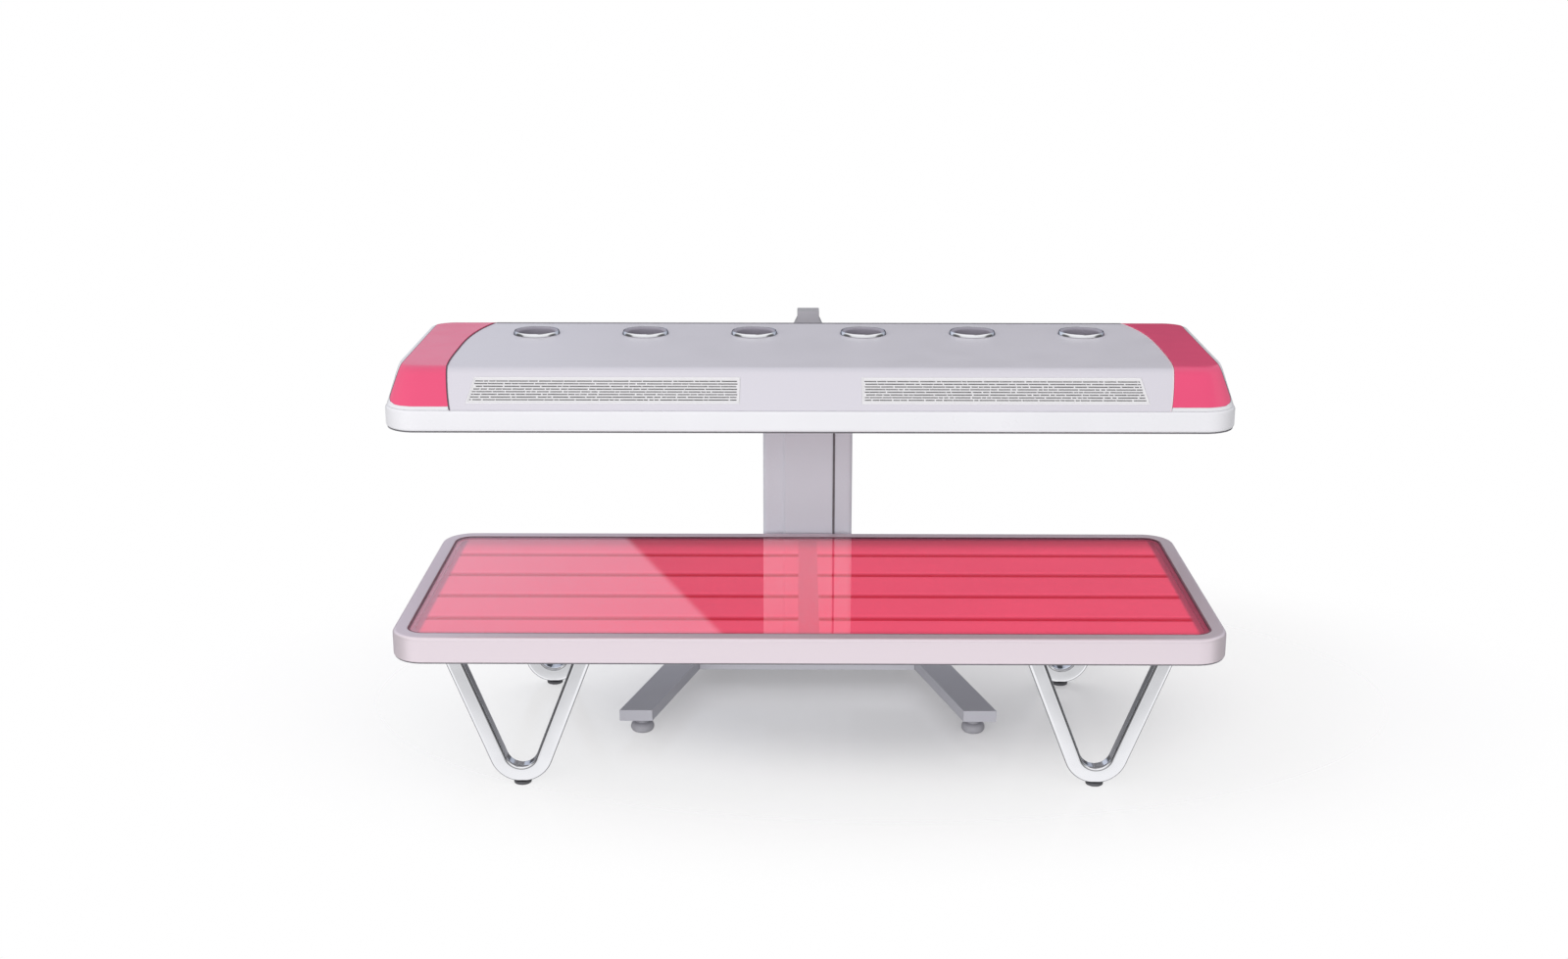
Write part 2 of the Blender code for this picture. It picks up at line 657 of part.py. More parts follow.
def column(stand, finishes):
    """Hollow column with its raised front strip and the guide collar on top."""
    bottom = BASE_TOP + FIT
    section = [(0, bottom), (0, COLUMN_TOP), (COLUMN_WALL, COLUMN_TOP), (COLUMN_WALL, bottom)]
    profile = piece("column_profile", rim(COLUMN_WIDTH, COLUMN_DEPTH, COLUMN_CORNER, section),
                    finishes["grey"], stand)
    back = COLUMN_DEPTH / 2
    for offset, width, height in ((-SERVICE_OFFSET, INLET_WIDTH, INLET_HEIGHT),
                                  (SERVICE_OFFSET, SWITCH_WIDTH, SWITCH_HEIGHT)):
        hole = box((offset - width / 2 - FIT, offset + width / 2 + FIT),
                   (back - 2 * COLUMN_WALL, back + COLUMN_WALL),
                   (SERVICE_Z - height / 2 - FIT, SERVICE_Z + height / 2 + FIT))
        combine(profile, hole, "DIFFERENCE")
    face = -back - FIT
    half = STRIP_WIDTH / 2
    front = face - STRIP_PROUD
    outline = [(half, face)]
    outline += arc((half - STRIP_EDGE, front + STRIP_EDGE), STRIP_EDGE, 0, -math.pi / 2, EDGE_STEPS)
    outline += [(-x, y) for x, y in reversed(outline)]
    piece("column_front_strip", prism(outline, bottom, COLUMN_TOP), finishes["grey"], stand)
    inner = MAST_INSET - RUN
    low = COLUMN_TOP + FIT
    top = low + COLLAR_HEIGHT
    section = [(-COLLAR_PROUD, low), (-COLLAR_PROUD, top - COLLAR_PROUD), (0, top)]
    section += [(inner, top), (inner, low)]
    piece("column_collar", rim(COLUMN_WIDTH, COLUMN_DEPTH, COLUMN_CORNER, section), finishes["dark"], stand)


def actuator(stand, finishes):
    """Electric lift: a fixed tube with its gearbox and motor."""
    bottom = BASE_TOP + FIT
    bore = ROD_RADIUS + RUN
    cup = [(ACTUATOR_RADIUS, bottom), (ACTUATOR_RADIUS, ACTUATOR_TOP)]
    cup += [(bore, ACTUATOR_TOP), (bore, bottom + ACTUATOR_FLOOR)]
    body = piece("lift_actuator", turned(cup), finishes["dark"], stand)
    bore_wall = ROD_RADIUS + 2 * RUN
    gearbox = box((bore_wall, MOTOR_OFFSET + MOTOR_RADIUS), (-GEARBOX_DEPTH / 2, GEARBOX_DEPTH / 2),
                  (bottom, bottom + GEARBOX_HEIGHT))
    combine(body, gearbox, "UNION")
    overlap = GEARBOX_HEIGHT / 2
    motor = turned([(MOTOR_RADIUS - FIT, bottom + overlap), (MOTOR_RADIUS - FIT, bottom + MOTOR_HEIGHT)],
                   (MOTOR_OFFSET, 0))
    combine(body, motor, "UNION")


def mains_inlet(stand, finishes):
    """Recessed mains inlet with its three pins."""
    back = COLUMN_DEPTH / 2 + FIT
    flange = back + INLET_FLANGE_THICK
    width = INLET_WIDTH / 2
    height = INLET_HEIGHT / 2
    body = box((-width, width), (back - INLET_DEPTH, back + INLET_FLANGE_THICK / 2), (-height, height))
    inlet = piece("mains_inlet", body, finishes["dark"], stand, (-SERVICE_OFFSET, 0, SERVICE_Z))
    plate = box((-width - INLET_FLANGE, width + INLET_FLANGE), (back, flange),
                (-height - INLET_FLANGE, height + INLET_FLANGE))
    combine(inlet, plate, "UNION")
    floor = flange - INLET_SOCKET_DEPTH
    socket_width = width - INLET_SOCKET_WALL
    socket_height = height - INLET_SOCKET_WALL
    socket = box((-socket_width, socket_width), (floor, flange + INLET_FLANGE_THICK),
                 (-socket_height, socket_height))
    combine(inlet, socket, "DIFFERENCE")
    pins = bmesh.new()
    for i in (-1, 0, 1):
        x = i * INLET_PIN_PITCH
        box((x - INLET_PIN_WIDTH / 2, x + INLET_PIN_WIDTH / 2),
            (floor - INLET_PIN_WIDTH, floor + INLET_PIN_LENGTH),
            (-INLET_PIN_HEIGHT / 2, INLET_PIN_HEIGHT / 2), pins)
    combine(inlet, pins, "UNION")


def power_switch(stand, finishes):
    """Switch frame in the column's back, and the rocker that tips in it."""
    back = COLUMN_DEPTH / 2 + FIT
    flange = back + SWITCH_FLANGE_THICK
    width = SWITCH_WIDTH / 2
    height = SWITCH_HEIGHT / 2
    place = (SERVICE_OFFSET, 0, SERVICE_Z)
    body = box((-width, width), (flange - SWITCH_DEPTH, back + SWITCH_FLANGE_THICK / 2), (-height, height))
    frame = piece("switch_frame", body, finishes["dark"], stand, place)
    plate = box((-width - SWITCH_FLANGE, width + SWITCH_FLANGE), (back, flange),
                (-height - SWITCH_FLANGE, height + SWITCH_FLANGE))
    combine(frame, plate, "UNION")
    floor = flange - SWITCH_POCKET_DEPTH
    pocket = box((-width + SWITCH_WALL, width - SWITCH_WALL), (floor, flange + SWITCH_DEPTH),
                 (-height + SWITCH_WALL, height - SWITCH_WALL))
    combine(frame, pocket, "DIFFERENCE")
    half = height - SWITCH_WALL - ROCKER_END_CLEARANCE
    axis = floor + FIT + ROCKER_BACK_RADIUS
    face = flange + ROCKER_STAND_OUT - axis
    section = [(face, half), (face - ROCKER_DIP, 0), (face, -half), (face - ROCKER_THICK, -half)]
    section += arc((0, 0), ROCKER_BACK_RADIUS, math.pi + ROCKER_BACK_ARC, math.pi - ROCKER_BACK_ARC,
                   2 * EDGE_STEPS)
    section += [(face - ROCKER_THICK, half)]
    rocker_half = width - SWITCH_WALL - RUN
    piece("power_rocker", along_x(section, -rocker_half, rocker_half), finishes["dark"], stand,
          (SERVICE_OFFSET, axis, SERVICE_Z))


def mast(lift, finishes):
    """Sliding mast, the guide shoe on its foot and the actuator's rod inside."""
    inner = MAST_INSET + MAST_WALL
    section = [(MAST_INSET, MAST_BOTTOM), (MAST_INSET, MAST_TOP), (inner, MAST_TOP), (inner, MAST_BOTTOM)]
    piece("lift_mast", rim(COLUMN_WIDTH, COLUMN_DEPTH, COLUMN_CORNER, section), finishes["silver"], lift)
    outer = COLUMN_WALL + RUN
    seat = MAST_INSET - FIT
    shoe_top = MAST_BOTTOM + SHOE_HEIGHT
    section = [(outer, MAST_BOTTOM), (outer, shoe_top), (seat, shoe_top), (seat, MAST_BOTTOM)]
    piece("mast_guide_shoe", rim(COLUMN_WIDTH, COLUMN_DEPTH, COLUMN_CORNER, section), finishes["dark"], lift)
    piece("actuator_rod", turned([(ROD_RADIUS, ROD_BOTTOM), (ROD_RADIUS, MAST_TOP)]), finishes["steel"], lift)


def bracket(canopy, finishes):
    """Steel head on the mast, with two arms into the canopy and the flared post on top."""
    mast_y = COLUMN_Y - CANOPY_Y
    head_x = COLUMN_WIDTH / 2 - MAST_INSET + HEAD_MARGIN
    head_y = COLUMN_DEPTH / 2 - MAST_INSET + HEAD_MARGIN
    bottom = ARM_BOTTOM
    head_top = bottom + HEAD_HEIGHT
    head = box((-head_x, head_x), (mast_y - head_y, mast_y + head_y), (bottom, head_top))
    carrier = piece("canopy_bracket", head, finishes["steel_paint"], canopy)
    wall = CANOPY_DEPTH / 2 + FIT
    bridge = box((-BRIDGE_WIDTH / 2, BRIDGE_WIDTH / 2), (wall, mast_y), (bottom, bottom + ARM_HEIGHT))
    combine(carrier, bridge, "UNION")
    arms = bmesh.new()
    for sign in (-1, 1):
        x = sign * ARM_X
        box((x - ARM_WIDTH / 2, x + ARM_WIDTH / 2), (CANOPY_DEPTH / 2 - ARM_REACH, mast_y - head_y / 2),
            (bottom, bottom + ARM_HEIGHT), arms)
    combine(carrier, arms, "UNION")
    top = CANOPY_HEIGHT
    flare_end = top - POST_FLARE_DROP
    post_y = mast_y - head_y + POST_DEPTH / 2
    loops = []
    for widen, z in ((POST_FOOT_FLARE, head_top - POST_EDGE), (POST_FOOT_FLARE, head_top),
                     (POST_FLARE, flare_end), (0, flare_end + POST_FLARE), (0, top)):
        outline = rounded_rectangle(POST_WIDTH + widen, POST_DEPTH, POST_EDGE, SMALL_EDGE_STEPS)
        loops.append([Vector((x, y + post_y, z)) for x, y in outline])
    combine(carrier, loft(loops), "UNION")


def tray(canopy, finishes):
    """White rim of the canopy, slotted at the back for the bracket's arms."""
    flange = TRAY_FLANGE_THICK
    top = TRAY_HEIGHT
    section = arc((TRAY_EDGE, TRAY_EDGE), TRAY_EDGE, math.pi, 1.5 * math.pi, EDGE_STEPS)
    section += [(TRAY_BOTTOM_FLANGE, 0), (TRAY_BOTTOM_FLANGE, flange), (TRAY_WALL, flange)]
    section += [(TRAY_WALL, top - flange), (TRAY_TOP_FLANGE, top - flange), (TRAY_TOP_FLANGE, top)]
    section += arc((TRAY_EDGE, top - TRAY_EDGE), TRAY_EDGE, math.pi / 2, math.pi, EDGE_STEPS)
    shell = rim(CANOPY_LENGTH, CANOPY_DEPTH, TRAY_CORNER, section)
    body = piece("canopy_tray", shell, finishes["white"], canopy)
    slots = bmesh.new()
    wall = CANOPY_DEPTH / 2
    for sign in (-1, 1):
        x = sign * ARM_X
        box((x - ARM_WIDTH / 2 - FIT, x + ARM_WIDTH / 2 + FIT), (wall - 2 * TRAY_WALL, wall + TRAY_WALL),
            (ARM_BOTTOM - FIT, ARM_BOTTOM + ARM_HEIGHT + FIT), slots)
    combine(body, slots, "DIFFERENCE")


def seam(y):
    """Distance of the seam between cover and end cap from the middle, at a depth."""
    away = abs(y + CANOPY_DEPTH / 2 - SEAM_FROM_FRONT)
    return SEAM_X - away ** 3 / SEAM_RADIUS ** 2


def cover_path(wall):
    """The cover's section from its front foot to its rear foot, set in by a wall."""
    foot = TRAY_HEIGHT + FIT
    slope = wall / math.sin(SLOPE_ANGLE)
    crease_y = -CANOPY_DEPTH / 2 + SLOPE_RUN
    top = CANOPY_HEIGHT - wall
    start = (-CANOPY_DEPTH / 2 + COVER_SETBACK + slope, foot)
    crease = (crease_y - wall / math.tan(SLOPE_ANGLE) + slope, top)
    path = eased([start, crease, (0, top)], COVER_CREASE_RADIUS - wall, 2 * EDGE_STEPS)
    half = divided(path[:2], EDGE_STEPS)[:-1] + path[1:-2] + divided(path[-2:], SEAM_STEPS // 2)
    return half + [Vector((-p.x, p.y)) for p in reversed(half[:-1])]


def divided(ends, steps):
    """Evenly spaced points from one end to the other."""
    return [ends[0].lerp(ends[1], i / steps) for i in range(steps + 1)]


def cover(canopy, finishes):
    """Silver cover between the two curved seams, cut for the fans and the grilles."""
    loops = []
    for skins in zip(cover_path(0), cover_path(COVER_WALL)):
        outer, inner = [[(sign * seam(p.x), p.x, p.y) for sign in (-1, 1)] for p in skins]
        loops.append(outer + inner[::-1])
    shell = piece("canopy_cover", loft(loops), finishes["silver_paint"], canopy)
    holes = bmesh.new()
    radius = SLEEVE_RADIUS + FIT
    profile = [(radius, CANOPY_HEIGHT - 2 * COVER_WALL), (radius, CANOPY_HEIGHT + COVER_WALL)]
    for x in fan_places():
        turned(profile, (x, FAN_Y), bm=holes)
    combine(shell, holes, "DIFFERENCE")
    windows = bmesh.new()
    for side, start, end in grille_spans():
        corners = []
        for down in (GRILLE_FROM_CREASE - FIT, GRILLE_FROM_CREASE + GRILLE_HEIGHT + FIT):
            for depth in (-2 * COVER_WALL, 2 * COVER_WALL):
                corners.append(slope_point(down, depth))
        section = [corners[0], corners[1], corners[3], corners[2]]
        along_x(section, start - FIT, end + FIT, windows)
    combine(shell, windows, "DIFFERENCE")


def slope_point(down, height):
    """Depth and height of a point on the front slope, measured from the crease."""
    y = -CANOPY_DEPTH / 2 + SLOPE_RUN - down * math.cos(SLOPE_ANGLE) - height * math.sin(SLOPE_ANGLE)
    z = CANOPY_HEIGHT - down * math.sin(SLOPE_ANGLE) + height * math.cos(SLOPE_ANGLE)
    return y, z


def grille_spans():
    """Name, start and end along X of each grille."""
    return (("left", -GRILLE_OUTER, -GRILLE_INNER_LEFT), ("right", GRILLE_INNER_RIGHT, GRILLE_OUTER))


def spans(start, end, count, gap):
    """Edges of equal stretches with a gap between neighbours."""
    width = (end - start - gap * (count - 1)) / count
    return [(start + i * (width + gap), start + i * (width + gap) + width) for i in range(count)]


def perforated(columns, rows, length, height, thick):
    """A flat plate with a slot at each crossing of the given columns and rows."""
    xs = [0.0] + [edge for span in columns for edge in span] + [length]
    ys = [0.0] + [edge for span in rows for edge in span] + [height]
    bm = bmesh.new()
    grid = [[[bm.verts.new((x, y, z)) for y in ys] for x in xs] for z in (-thick, 0)]
    last_x = len(xs) - 2
    last_y = len(ys) - 2

    def solid(i, j):
        inside = 0 <= i <= last_x and 0 <= j <= last_y
        return inside and not (i % 2 and j % 2)

    def wall(a, b):
        below, above = [(layer[a[0]][a[1]], layer[b[0]][b[1]]) for layer in grid]
        bm.faces.new((*below, *reversed(above)))

    for i in range(-1, last_x + 1):
        for j in range(-1, last_y + 1):
            if solid(i, j):
                for layer in grid:
                    bm.faces.new((layer[i][j], layer[i + 1][j], layer[i + 1][j + 1], layer[i][j + 1]))
            if j >= 0 and solid(i, j) != solid(i + 1, j):
                wall((i + 1, j), (i + 1, j + 1))
            if i >= 0 and solid(i, j) != solid(i, j + 1):
                wall((i, j + 1), (i + 1, j + 1))
    return bm


def grilles(canopy, finishes):
    """Slotted plates set flush in the front slope."""
    gap = (GRILLE_HEIGHT - 2 * GRILLE_BORDER - GRILLE_ROWS * GRILLE_SLOT_HEIGHT) / (GRILLE_ROWS - 1)
    rows = spans(GRILLE_BORDER, GRILLE_HEIGHT - GRILLE_BORDER, GRILLE_ROWS, gap)
    y, z = slope_point(GRILLE_FROM_CREASE + GRILLE_HEIGHT, 0)
    for side, start, end in grille_spans():
        length = end - start
        columns = spans(GRILLE_BORDER, length - GRILLE_BORDER, GRILLE_SLOTS, GRILLE_BRIDGE)
        plate = perforated(columns, rows, length, GRILLE_HEIGHT, COVER_WALL)
        piece("vent_grille_" + side, plate, finishes["silver_paint"], canopy, (start, y, z),
              (SLOPE_ANGLE, 0, 0))


def cap_outline(wall, end_inset, front_inset, corner):
    """Plan of an end cap at one height: round its end, then back along the seam."""
    half_length = CANOPY_LENGTH / 2 - CAP_SETBACK - end_inset
    half_depth = CANOPY_DEPTH / 2 - CAP_SETBACK - front_inset
    points = arc((half_length - corner, corner - half_depth), corner, -math.pi / 2, 0, CORNER_STEPS)
    points += arc((half_length - corner, half_depth - corner), corner, 0, math.pi / 2, CORNER_STEPS)
    for i in range(SEAM_STEPS + 1):
        y = half_depth * (1 - 2 * i / SEAM_STEPS)
        points.append((seam(y) + SEAM_GAP + wall, y))
    return points


def end_cap_loops(sign, wall):
    """Loops of an end cap from its foot up to its flat top, set in by a wall."""
    foot = TRAY_HEIGHT + FIT
    top = CANOPY_HEIGHT + CAP_PROUD - wall
    run = SLOPE_RUN - CAP_SETBACK
    slope = wall / math.sin(SLOPE_ANGLE)
    shift = slope - wall / math.tan(SLOPE_ANGLE)
    path = eased([(slope, foot), (run + shift, top), (CANOPY_DEPTH / 2, top)], CAP_CREASE_RADIUS - wall)
    path = divided(path[:2], EDGE_STEPS)[:-1] + path[1:-1]
    loops = []
    for inset, z in path:
        rise = (z - foot) / (top - foot)
        end_inset = wall + CAP_END_DRAFT * rise
        corner = TRAY_CORNER + (CAP_TOP_CORNER - TRAY_CORNER) * rise - wall
        outline = cap_outline(wall, end_inset, inset, corner)
        loops.append([Vector((sign * x, y, z)) for x, y in outline])
    return loops


def end_caps(canopy, finishes):
    """Pink end caps beyond the seams."""
    for side, sign in SIDES:
        outer = end_cap_loops(sign, 0)
        inner = end_cap_loops(sign, CAP_WALL)
        piece("canopy_end_" + side, loft(inner[::-1] + outer), finishes["pink"], canopy)


def fan_places():
    """Distance of each fan from the middle."""
    return [(i - (FAN_COUNT - 1) / 2) * FAN_PITCH for i in range(FAN_COUNT)]


def fan_deck(canopy, finishes):
    """Sheet channel below the cover, with a spoked seat for each fan."""
    half = RING_RADIUS + DECK_MARGIN
    end = fan_places()[-1] + half
    top = CANOPY_HEIGHT - COVER_WALL - FIT
    low = DECK_TOP - DECK_SHEET
    inner = half - DECK_SHEET
    section = [(-half, low), (half, low), (half, top), (inner, top), (inner, DECK_TOP)]
    section += [(-inner, DECK_TOP), (-inner, top), (-half, top)]
    deck = piece("fan_deck", along_x(section, -end, end), finishes["sheet"], canopy, (0, FAN_Y, 0))
    openings = bmesh.new()
    sector = 2 * math.pi / DECK_SPOKES
    for x in fan_places():
        for i in range(DECK_SPOKES):
            arcs = []
            for radius in (DECK_HUB_RADIUS, ROTOR_RADIUS):
                spoke = math.asin(DECK_SPOKE_WIDTH / 2 / radius)
                arcs.append(arc((x, 0), radius, sector * i + spoke, sector * (i + 1) - spoke, CORNER_STEPS))
            prism(arcs[1] + arcs[0][::-1], low - DECK_SHEET, DECK_TOP + DECK_SHEET, openings)
    combine(deck, openings, "DIFFERENCE")


def fan(number, x, canopy, finishes):
    """One fan: the bright ring on the cover and the rotor below it."""
    seat = CANOPY_HEIGHT + FIT
    top = CANOPY_HEIGHT + RING_HEIGHT
    bore = SLEEVE_RADIUS - SLEEVE_WALL
    low = CANOPY_HEIGHT - SLEEVE_DEPTH
    profile = [(SLEEVE_RADIUS, low), (SLEEVE_RADIUS, seat), (RING_RADIUS, seat)]
    profile += [(RING_RADIUS, top - RING_BEVEL), (RING_RADIUS - RING_BEVEL, top)]
    profile += [(RING_RADIUS - RING_BEVEL - RING_FACE, top), (bore, top - RING_BEVEL), (bore, low)]
    piece("fan_ring_%d" % number, turned(profile, ring=True), finishes["chrome"], canopy, (x, FAN_Y, 0))
    foot = DECK_TOP + FIT
    hub = turned([(ROTOR_HUB_RADIUS, foot), (ROTOR_HUB_RADIUS, foot + ROTOR_HUB_HEIGHT)])
    rotor = piece("fan_rotor_%d" % number, hub, finishes["dark"], canopy, (x, FAN_Y, 0))
    blades = bmesh.new()
    root = ROTOR_HUB_RADIUS - ROTOR_BLADE_THICK
    tip = ROTOR_RADIUS - ROTOR_BLADE_THICK
    thick = ROTOR_BLADE_THICK / 2
    for i in range(ROTOR_BLADES):
        place = Matrix.Translation((0, 0, foot + ROTOR_HUB_HEIGHT / 2))
        place = place @ Matrix.Rotation(2 * math.pi * i / ROTOR_BLADES, 4, "Z")
        place = place @ Matrix.Rotation(ROTOR_BLADE_PITCH, 4, "X")
        loops = []
        for radius, chord in ((root, ROTOR_ROOT_CHORD), (tip, ROTOR_BLADE_CHORD)):
            half = chord / 2
            corners = ((-half, -thick), (half, -thick), (half, thick), (-half, thick))
            loops.append([place @ Vector((radius, y, z)) for y, z in corners])
        loft(loops, bm=blades)
    combine(rotor, blades, "UNION")


def canopy_inside(canopy, finishes):
    """Diffuser in its seal, lamp panels above it and their driver."""
    seal_bottom = TRAY_FLANGE_THICK + FIT
    seal_top = seal_bottom + DIFFUSER_SEAL
    edge = TRAY_WALL + DIFFUSER_MARGIN
    section = [(edge, seal_bottom), (edge, seal_top)]
    section += [(TRAY_BOTTOM_FLANGE, seal_top), (TRAY_BOTTOM_FLANGE, seal_bottom)]
    piece("canopy_diffuser_seal", rim(CANOPY_LENGTH, CANOPY_DEPTH, TRAY_CORNER, section),
          finishes["rubber"], canopy)
    diffuser = sheet(CANOPY_LENGTH, CANOPY_DEPTH, TRAY_CORNER, edge,
                     DIFFUSER_BOTTOM, DIFFUSER_BOTTOM + DIFFUSER_THICK)
    piece("canopy_diffuser", diffuser, finishes["clear"], canopy)
    half_depth = CANOPY_DEPTH / 2 - CANOPY_PANEL_INSET
    panel_end = CANOPY_LENGTH / 2 - CANOPY_PANEL_INSET
    for side, sign in SIDES:
        x = sorted((sign * CANOPY_PANEL_GAP / 2, sign * panel_end))
        plate = box(x, (-half_depth, half_depth), (CANOPY_PANEL_BOTTOM, CANOPY_PANEL_TOP))
        panel = piece("canopy_led_panel_" + side, plate, finishes["lamp"], canopy)
        wide = (x[0] - CANOPY_PANEL_THICK, x[1] + CANOPY_PANEL_THICK)
        grooved(panel, half_depth, wide, -1, CANOPY_PANEL_BOTTOM, PANEL_GROOVE_DEPTH)
    driver = driver_box(ARM_BOTTOM, CANOPY_DRIVER_HEIGHT)
    piece("canopy_led_driver", driver, finishes["sheet"], canopy, (CANOPY_DRIVER_X, 0, 0))


def build():
    """Build the whole bed."""
    clear_scene()
    finishes = {
        "silver": finish("silver_aluminium", (0.72, 0.70, 0.73), 0.35, 0.6),
        "silver_paint": finish("silver_paint", (0.66, 0.64, 0.69), 0.40),
        "white": finish("white_gloss", (0.91, 0.90, 0.93), 0.30),
        "pink": finish("pink_acrylic", (0.72, 0.10, 0.20), 0.25),
        "clear": finish("clear_acrylic", (0.95, 0.80, 0.84), 0.05, alpha=0.35),
        "lamp": finish("red_lamp_panel", (0.75, 0.08, 0.15), 0.40),
        "rubber": finish("dark_rubber", (0.09, 0.07, 0.08), 0.80),
        "chrome": finish("chrome", (0.80, 0.80, 0.81), 0.10, 1.0),
        "steel": finish("zinc_steel", (0.45, 0.45, 0.48), 0.35, 1.0),
        "steel_paint": finish("painted_steel", (0.52, 0.51, 0.56), 0.45),
        "grey": finish("grey_paint", (0.50, 0.49, 0.55), 0.45),
        "sheet": finish("zinc_sheet", (0.55, 0.55, 0.57), 0.45, 0.8),
        "dark": finish("dark_plastic", (0.06, 0.06, 0.07), 0.50),
    }
    bench = group("bench", None, (0, BENCH_Y, 0))
    stand = group("stand", None, (0, COLUMN_Y, 0))
    lift = group("lift", stand)
    canopy = group("canopy", lift, (0, CANOPY_Y - COLUMN_Y, CANOPY_UNDERSIDE))
    for assembly in (bench_frame, bench_top, bench_pan, bench_panels, bench_rails, bench_legs):
        assembly(bench, finishes)
    for assembly in (base_legs, levelling_feet, crossbeam, column, actuator, mains_inlet, power_switch):
        assembly(stand, finishes)
    mast(lift, finishes)
    for assembly in (bracket, tray, cover, grilles, end_caps, fan_deck, canopy_inside):
        assembly(canopy, finishes)
    for number, x in enumerate(fan_places(), start=1):
        fan(number, x, canopy, finishes)


build()
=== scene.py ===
"""Looks of the light therapy bed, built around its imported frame.

Metres, +Z up, in the frame's own coordinates. The user stands at -Y.
"""
import math
import random
from itertools import product as grid

import bmesh
import bpy
from mathutils import Matrix, Vector

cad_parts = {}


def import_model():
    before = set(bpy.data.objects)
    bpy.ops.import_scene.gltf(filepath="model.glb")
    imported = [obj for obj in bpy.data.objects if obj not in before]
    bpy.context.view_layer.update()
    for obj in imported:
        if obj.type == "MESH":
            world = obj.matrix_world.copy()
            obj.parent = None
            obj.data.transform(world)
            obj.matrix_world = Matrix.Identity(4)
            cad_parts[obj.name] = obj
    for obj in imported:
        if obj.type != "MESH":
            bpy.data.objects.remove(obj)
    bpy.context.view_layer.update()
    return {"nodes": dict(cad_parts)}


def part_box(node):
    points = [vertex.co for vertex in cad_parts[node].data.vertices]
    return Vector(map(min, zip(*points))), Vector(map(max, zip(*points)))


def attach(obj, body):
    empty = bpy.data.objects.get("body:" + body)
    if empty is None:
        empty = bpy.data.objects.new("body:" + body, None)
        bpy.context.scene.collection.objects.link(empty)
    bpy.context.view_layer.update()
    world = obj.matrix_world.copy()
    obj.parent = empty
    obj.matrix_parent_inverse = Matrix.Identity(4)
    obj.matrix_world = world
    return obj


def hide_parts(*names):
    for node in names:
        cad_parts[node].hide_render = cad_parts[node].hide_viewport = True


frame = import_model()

NODES = frame["nodes"]
SIDES = (("left", -1), ("right", 1))
ENDS = (("front", -1), ("rear", 1))
UP = (0, 0, 1)
DOWN = (0, 0, -1)
FORWARD = (0, -1, 0)
BACKWARD = (0, 1, 0)
QUARTER = math.pi / 2
QUADRANTS = ((1, 1), (-1, 1), (-1, -1), (1, -1))

# Gap between pieces that rest on each other
FIT = 0.0003

# Bench
BENCH_LENGTH = 2.000
BENCH_DEPTH = 0.843
BENCH_Y = -0.0885
BENCH_TOP = 0.409
FRAME_BOTTOM = 0.345
FRAME_CORNER = 0.080
FRAME_WALL = 0.004
FRAME_FLANGE = 0.040
FRAME_LOWER_EDGE = 0.006
RIM_WIDTH = 0.035
RIM_EDGE = 0.009
RIM_INNER_EDGE = 0.0005
LEDGE_INSET = 0.051
LEDGE_TOP = 0.3959
LEDGE_THICK = 0.004
GLASS_TOP = 0.408
GLASS_BOTTOM = 0.398
SEAL_LIP = 0.0035
SEAL_FLANGE = 0.001
SEAL_OVERLAP = 0.0002
SEAL_PAD = 0.0015
PANEL_TOP = 0.3965
PANEL_BOTTOM = 0.3845
PANEL_START = 0.0253
PANEL_END = 0.9485
PANEL_STRIP_END = 0.934
PANEL_BAND_DEPTH = 0.001
PANEL_HALF_DEPTH = 0.370
GROOVE_PITCH = 0.167
GROOVE_MIDDLE = -0.0125
GROOVE_COUNT = 4
GROOVE_DEPTH = 0.004
GROOVE_HALF_WIDTH = 0.018

# Bench legs
LEG_X = 0.703
LEG_Y = 0.3315
LEG_TUBE = 0.040
LEG_EDGE = 0.008
LEG_HALF_SPREAD = 0.185
LEG_BEND_RADIUS = 0.059
LEG_PLATE_TOP = 0.349
LEG_PLATE_THICK = 0.006
LEG_PLATE_LENGTH = 0.400
LEG_PLATE_DEPTH = 0.070
LEG_PLATE_CORNER = 0.010
LEG_BOLT_X = 0.095
LEG_BOLT_Y = 0.020
FOOT_RADIUS = 0.0215
FOOT_HEIGHT = 0.008
FOOT_LOWER_EDGE = 0.0025
FOOT_UPPER_EDGE = 0.0015
FOOT_STUD_RADIUS = 0.005
FOOT_STUD_HEIGHT = 0.012

# Stand
STRIP_FOOT = 0.0005
STRIP_EDGE = 0.0015
STRIP_BEVEL = 0.0072
# Width of the grey strip of painted shadow right of the column strip
STRIP_SHADOW_WIDTH = 0.0062
COLUMN_SCREW_X = 0.104
COLUMN_SCREW_HEIGHTS = (0.14, 0.53, 0.92)
INLET_SCREW_INSET = 0.0052
BEAM_BOLT_X = 0.180
BEAM_BOLT_Y = (0.385, 0.455)
BRACKET_BOLT_X = 0.078
BRACKET_BOLT_Z = (0.011, 0.029)
BASE_BOTTOM = 0.044
BASE_TOP = 0.074
LEVELLER_RADIUS = 0.0305
LEVELLER_MIDDLE = 0.0125
LEVELLER_TURN = (-1.1, 1.3)
LEVELLER_BULGE = 0.42
LEVELLER_NECK_RADIUS = 0.0105
LEVELLER_STUD_RADIUS = 0.006
LEVELLER_STUD_TOP = 0.068

# Fastener heads, by radius and height
PAN_SCREW = (0.0045, 0.0032)
TRAY_SCREW = (0.0045, 0.0030)
COLUMN_SCREW = (0.0042, 0.0028)
COLLAR_SCREW = (0.0038, 0.0024)
INLET_SCREW = (0.0026, 0.0014)
PLATE_BOLT = (0.0065, 0.0055)
BEAM_BOLT = (0.0080, 0.0065)

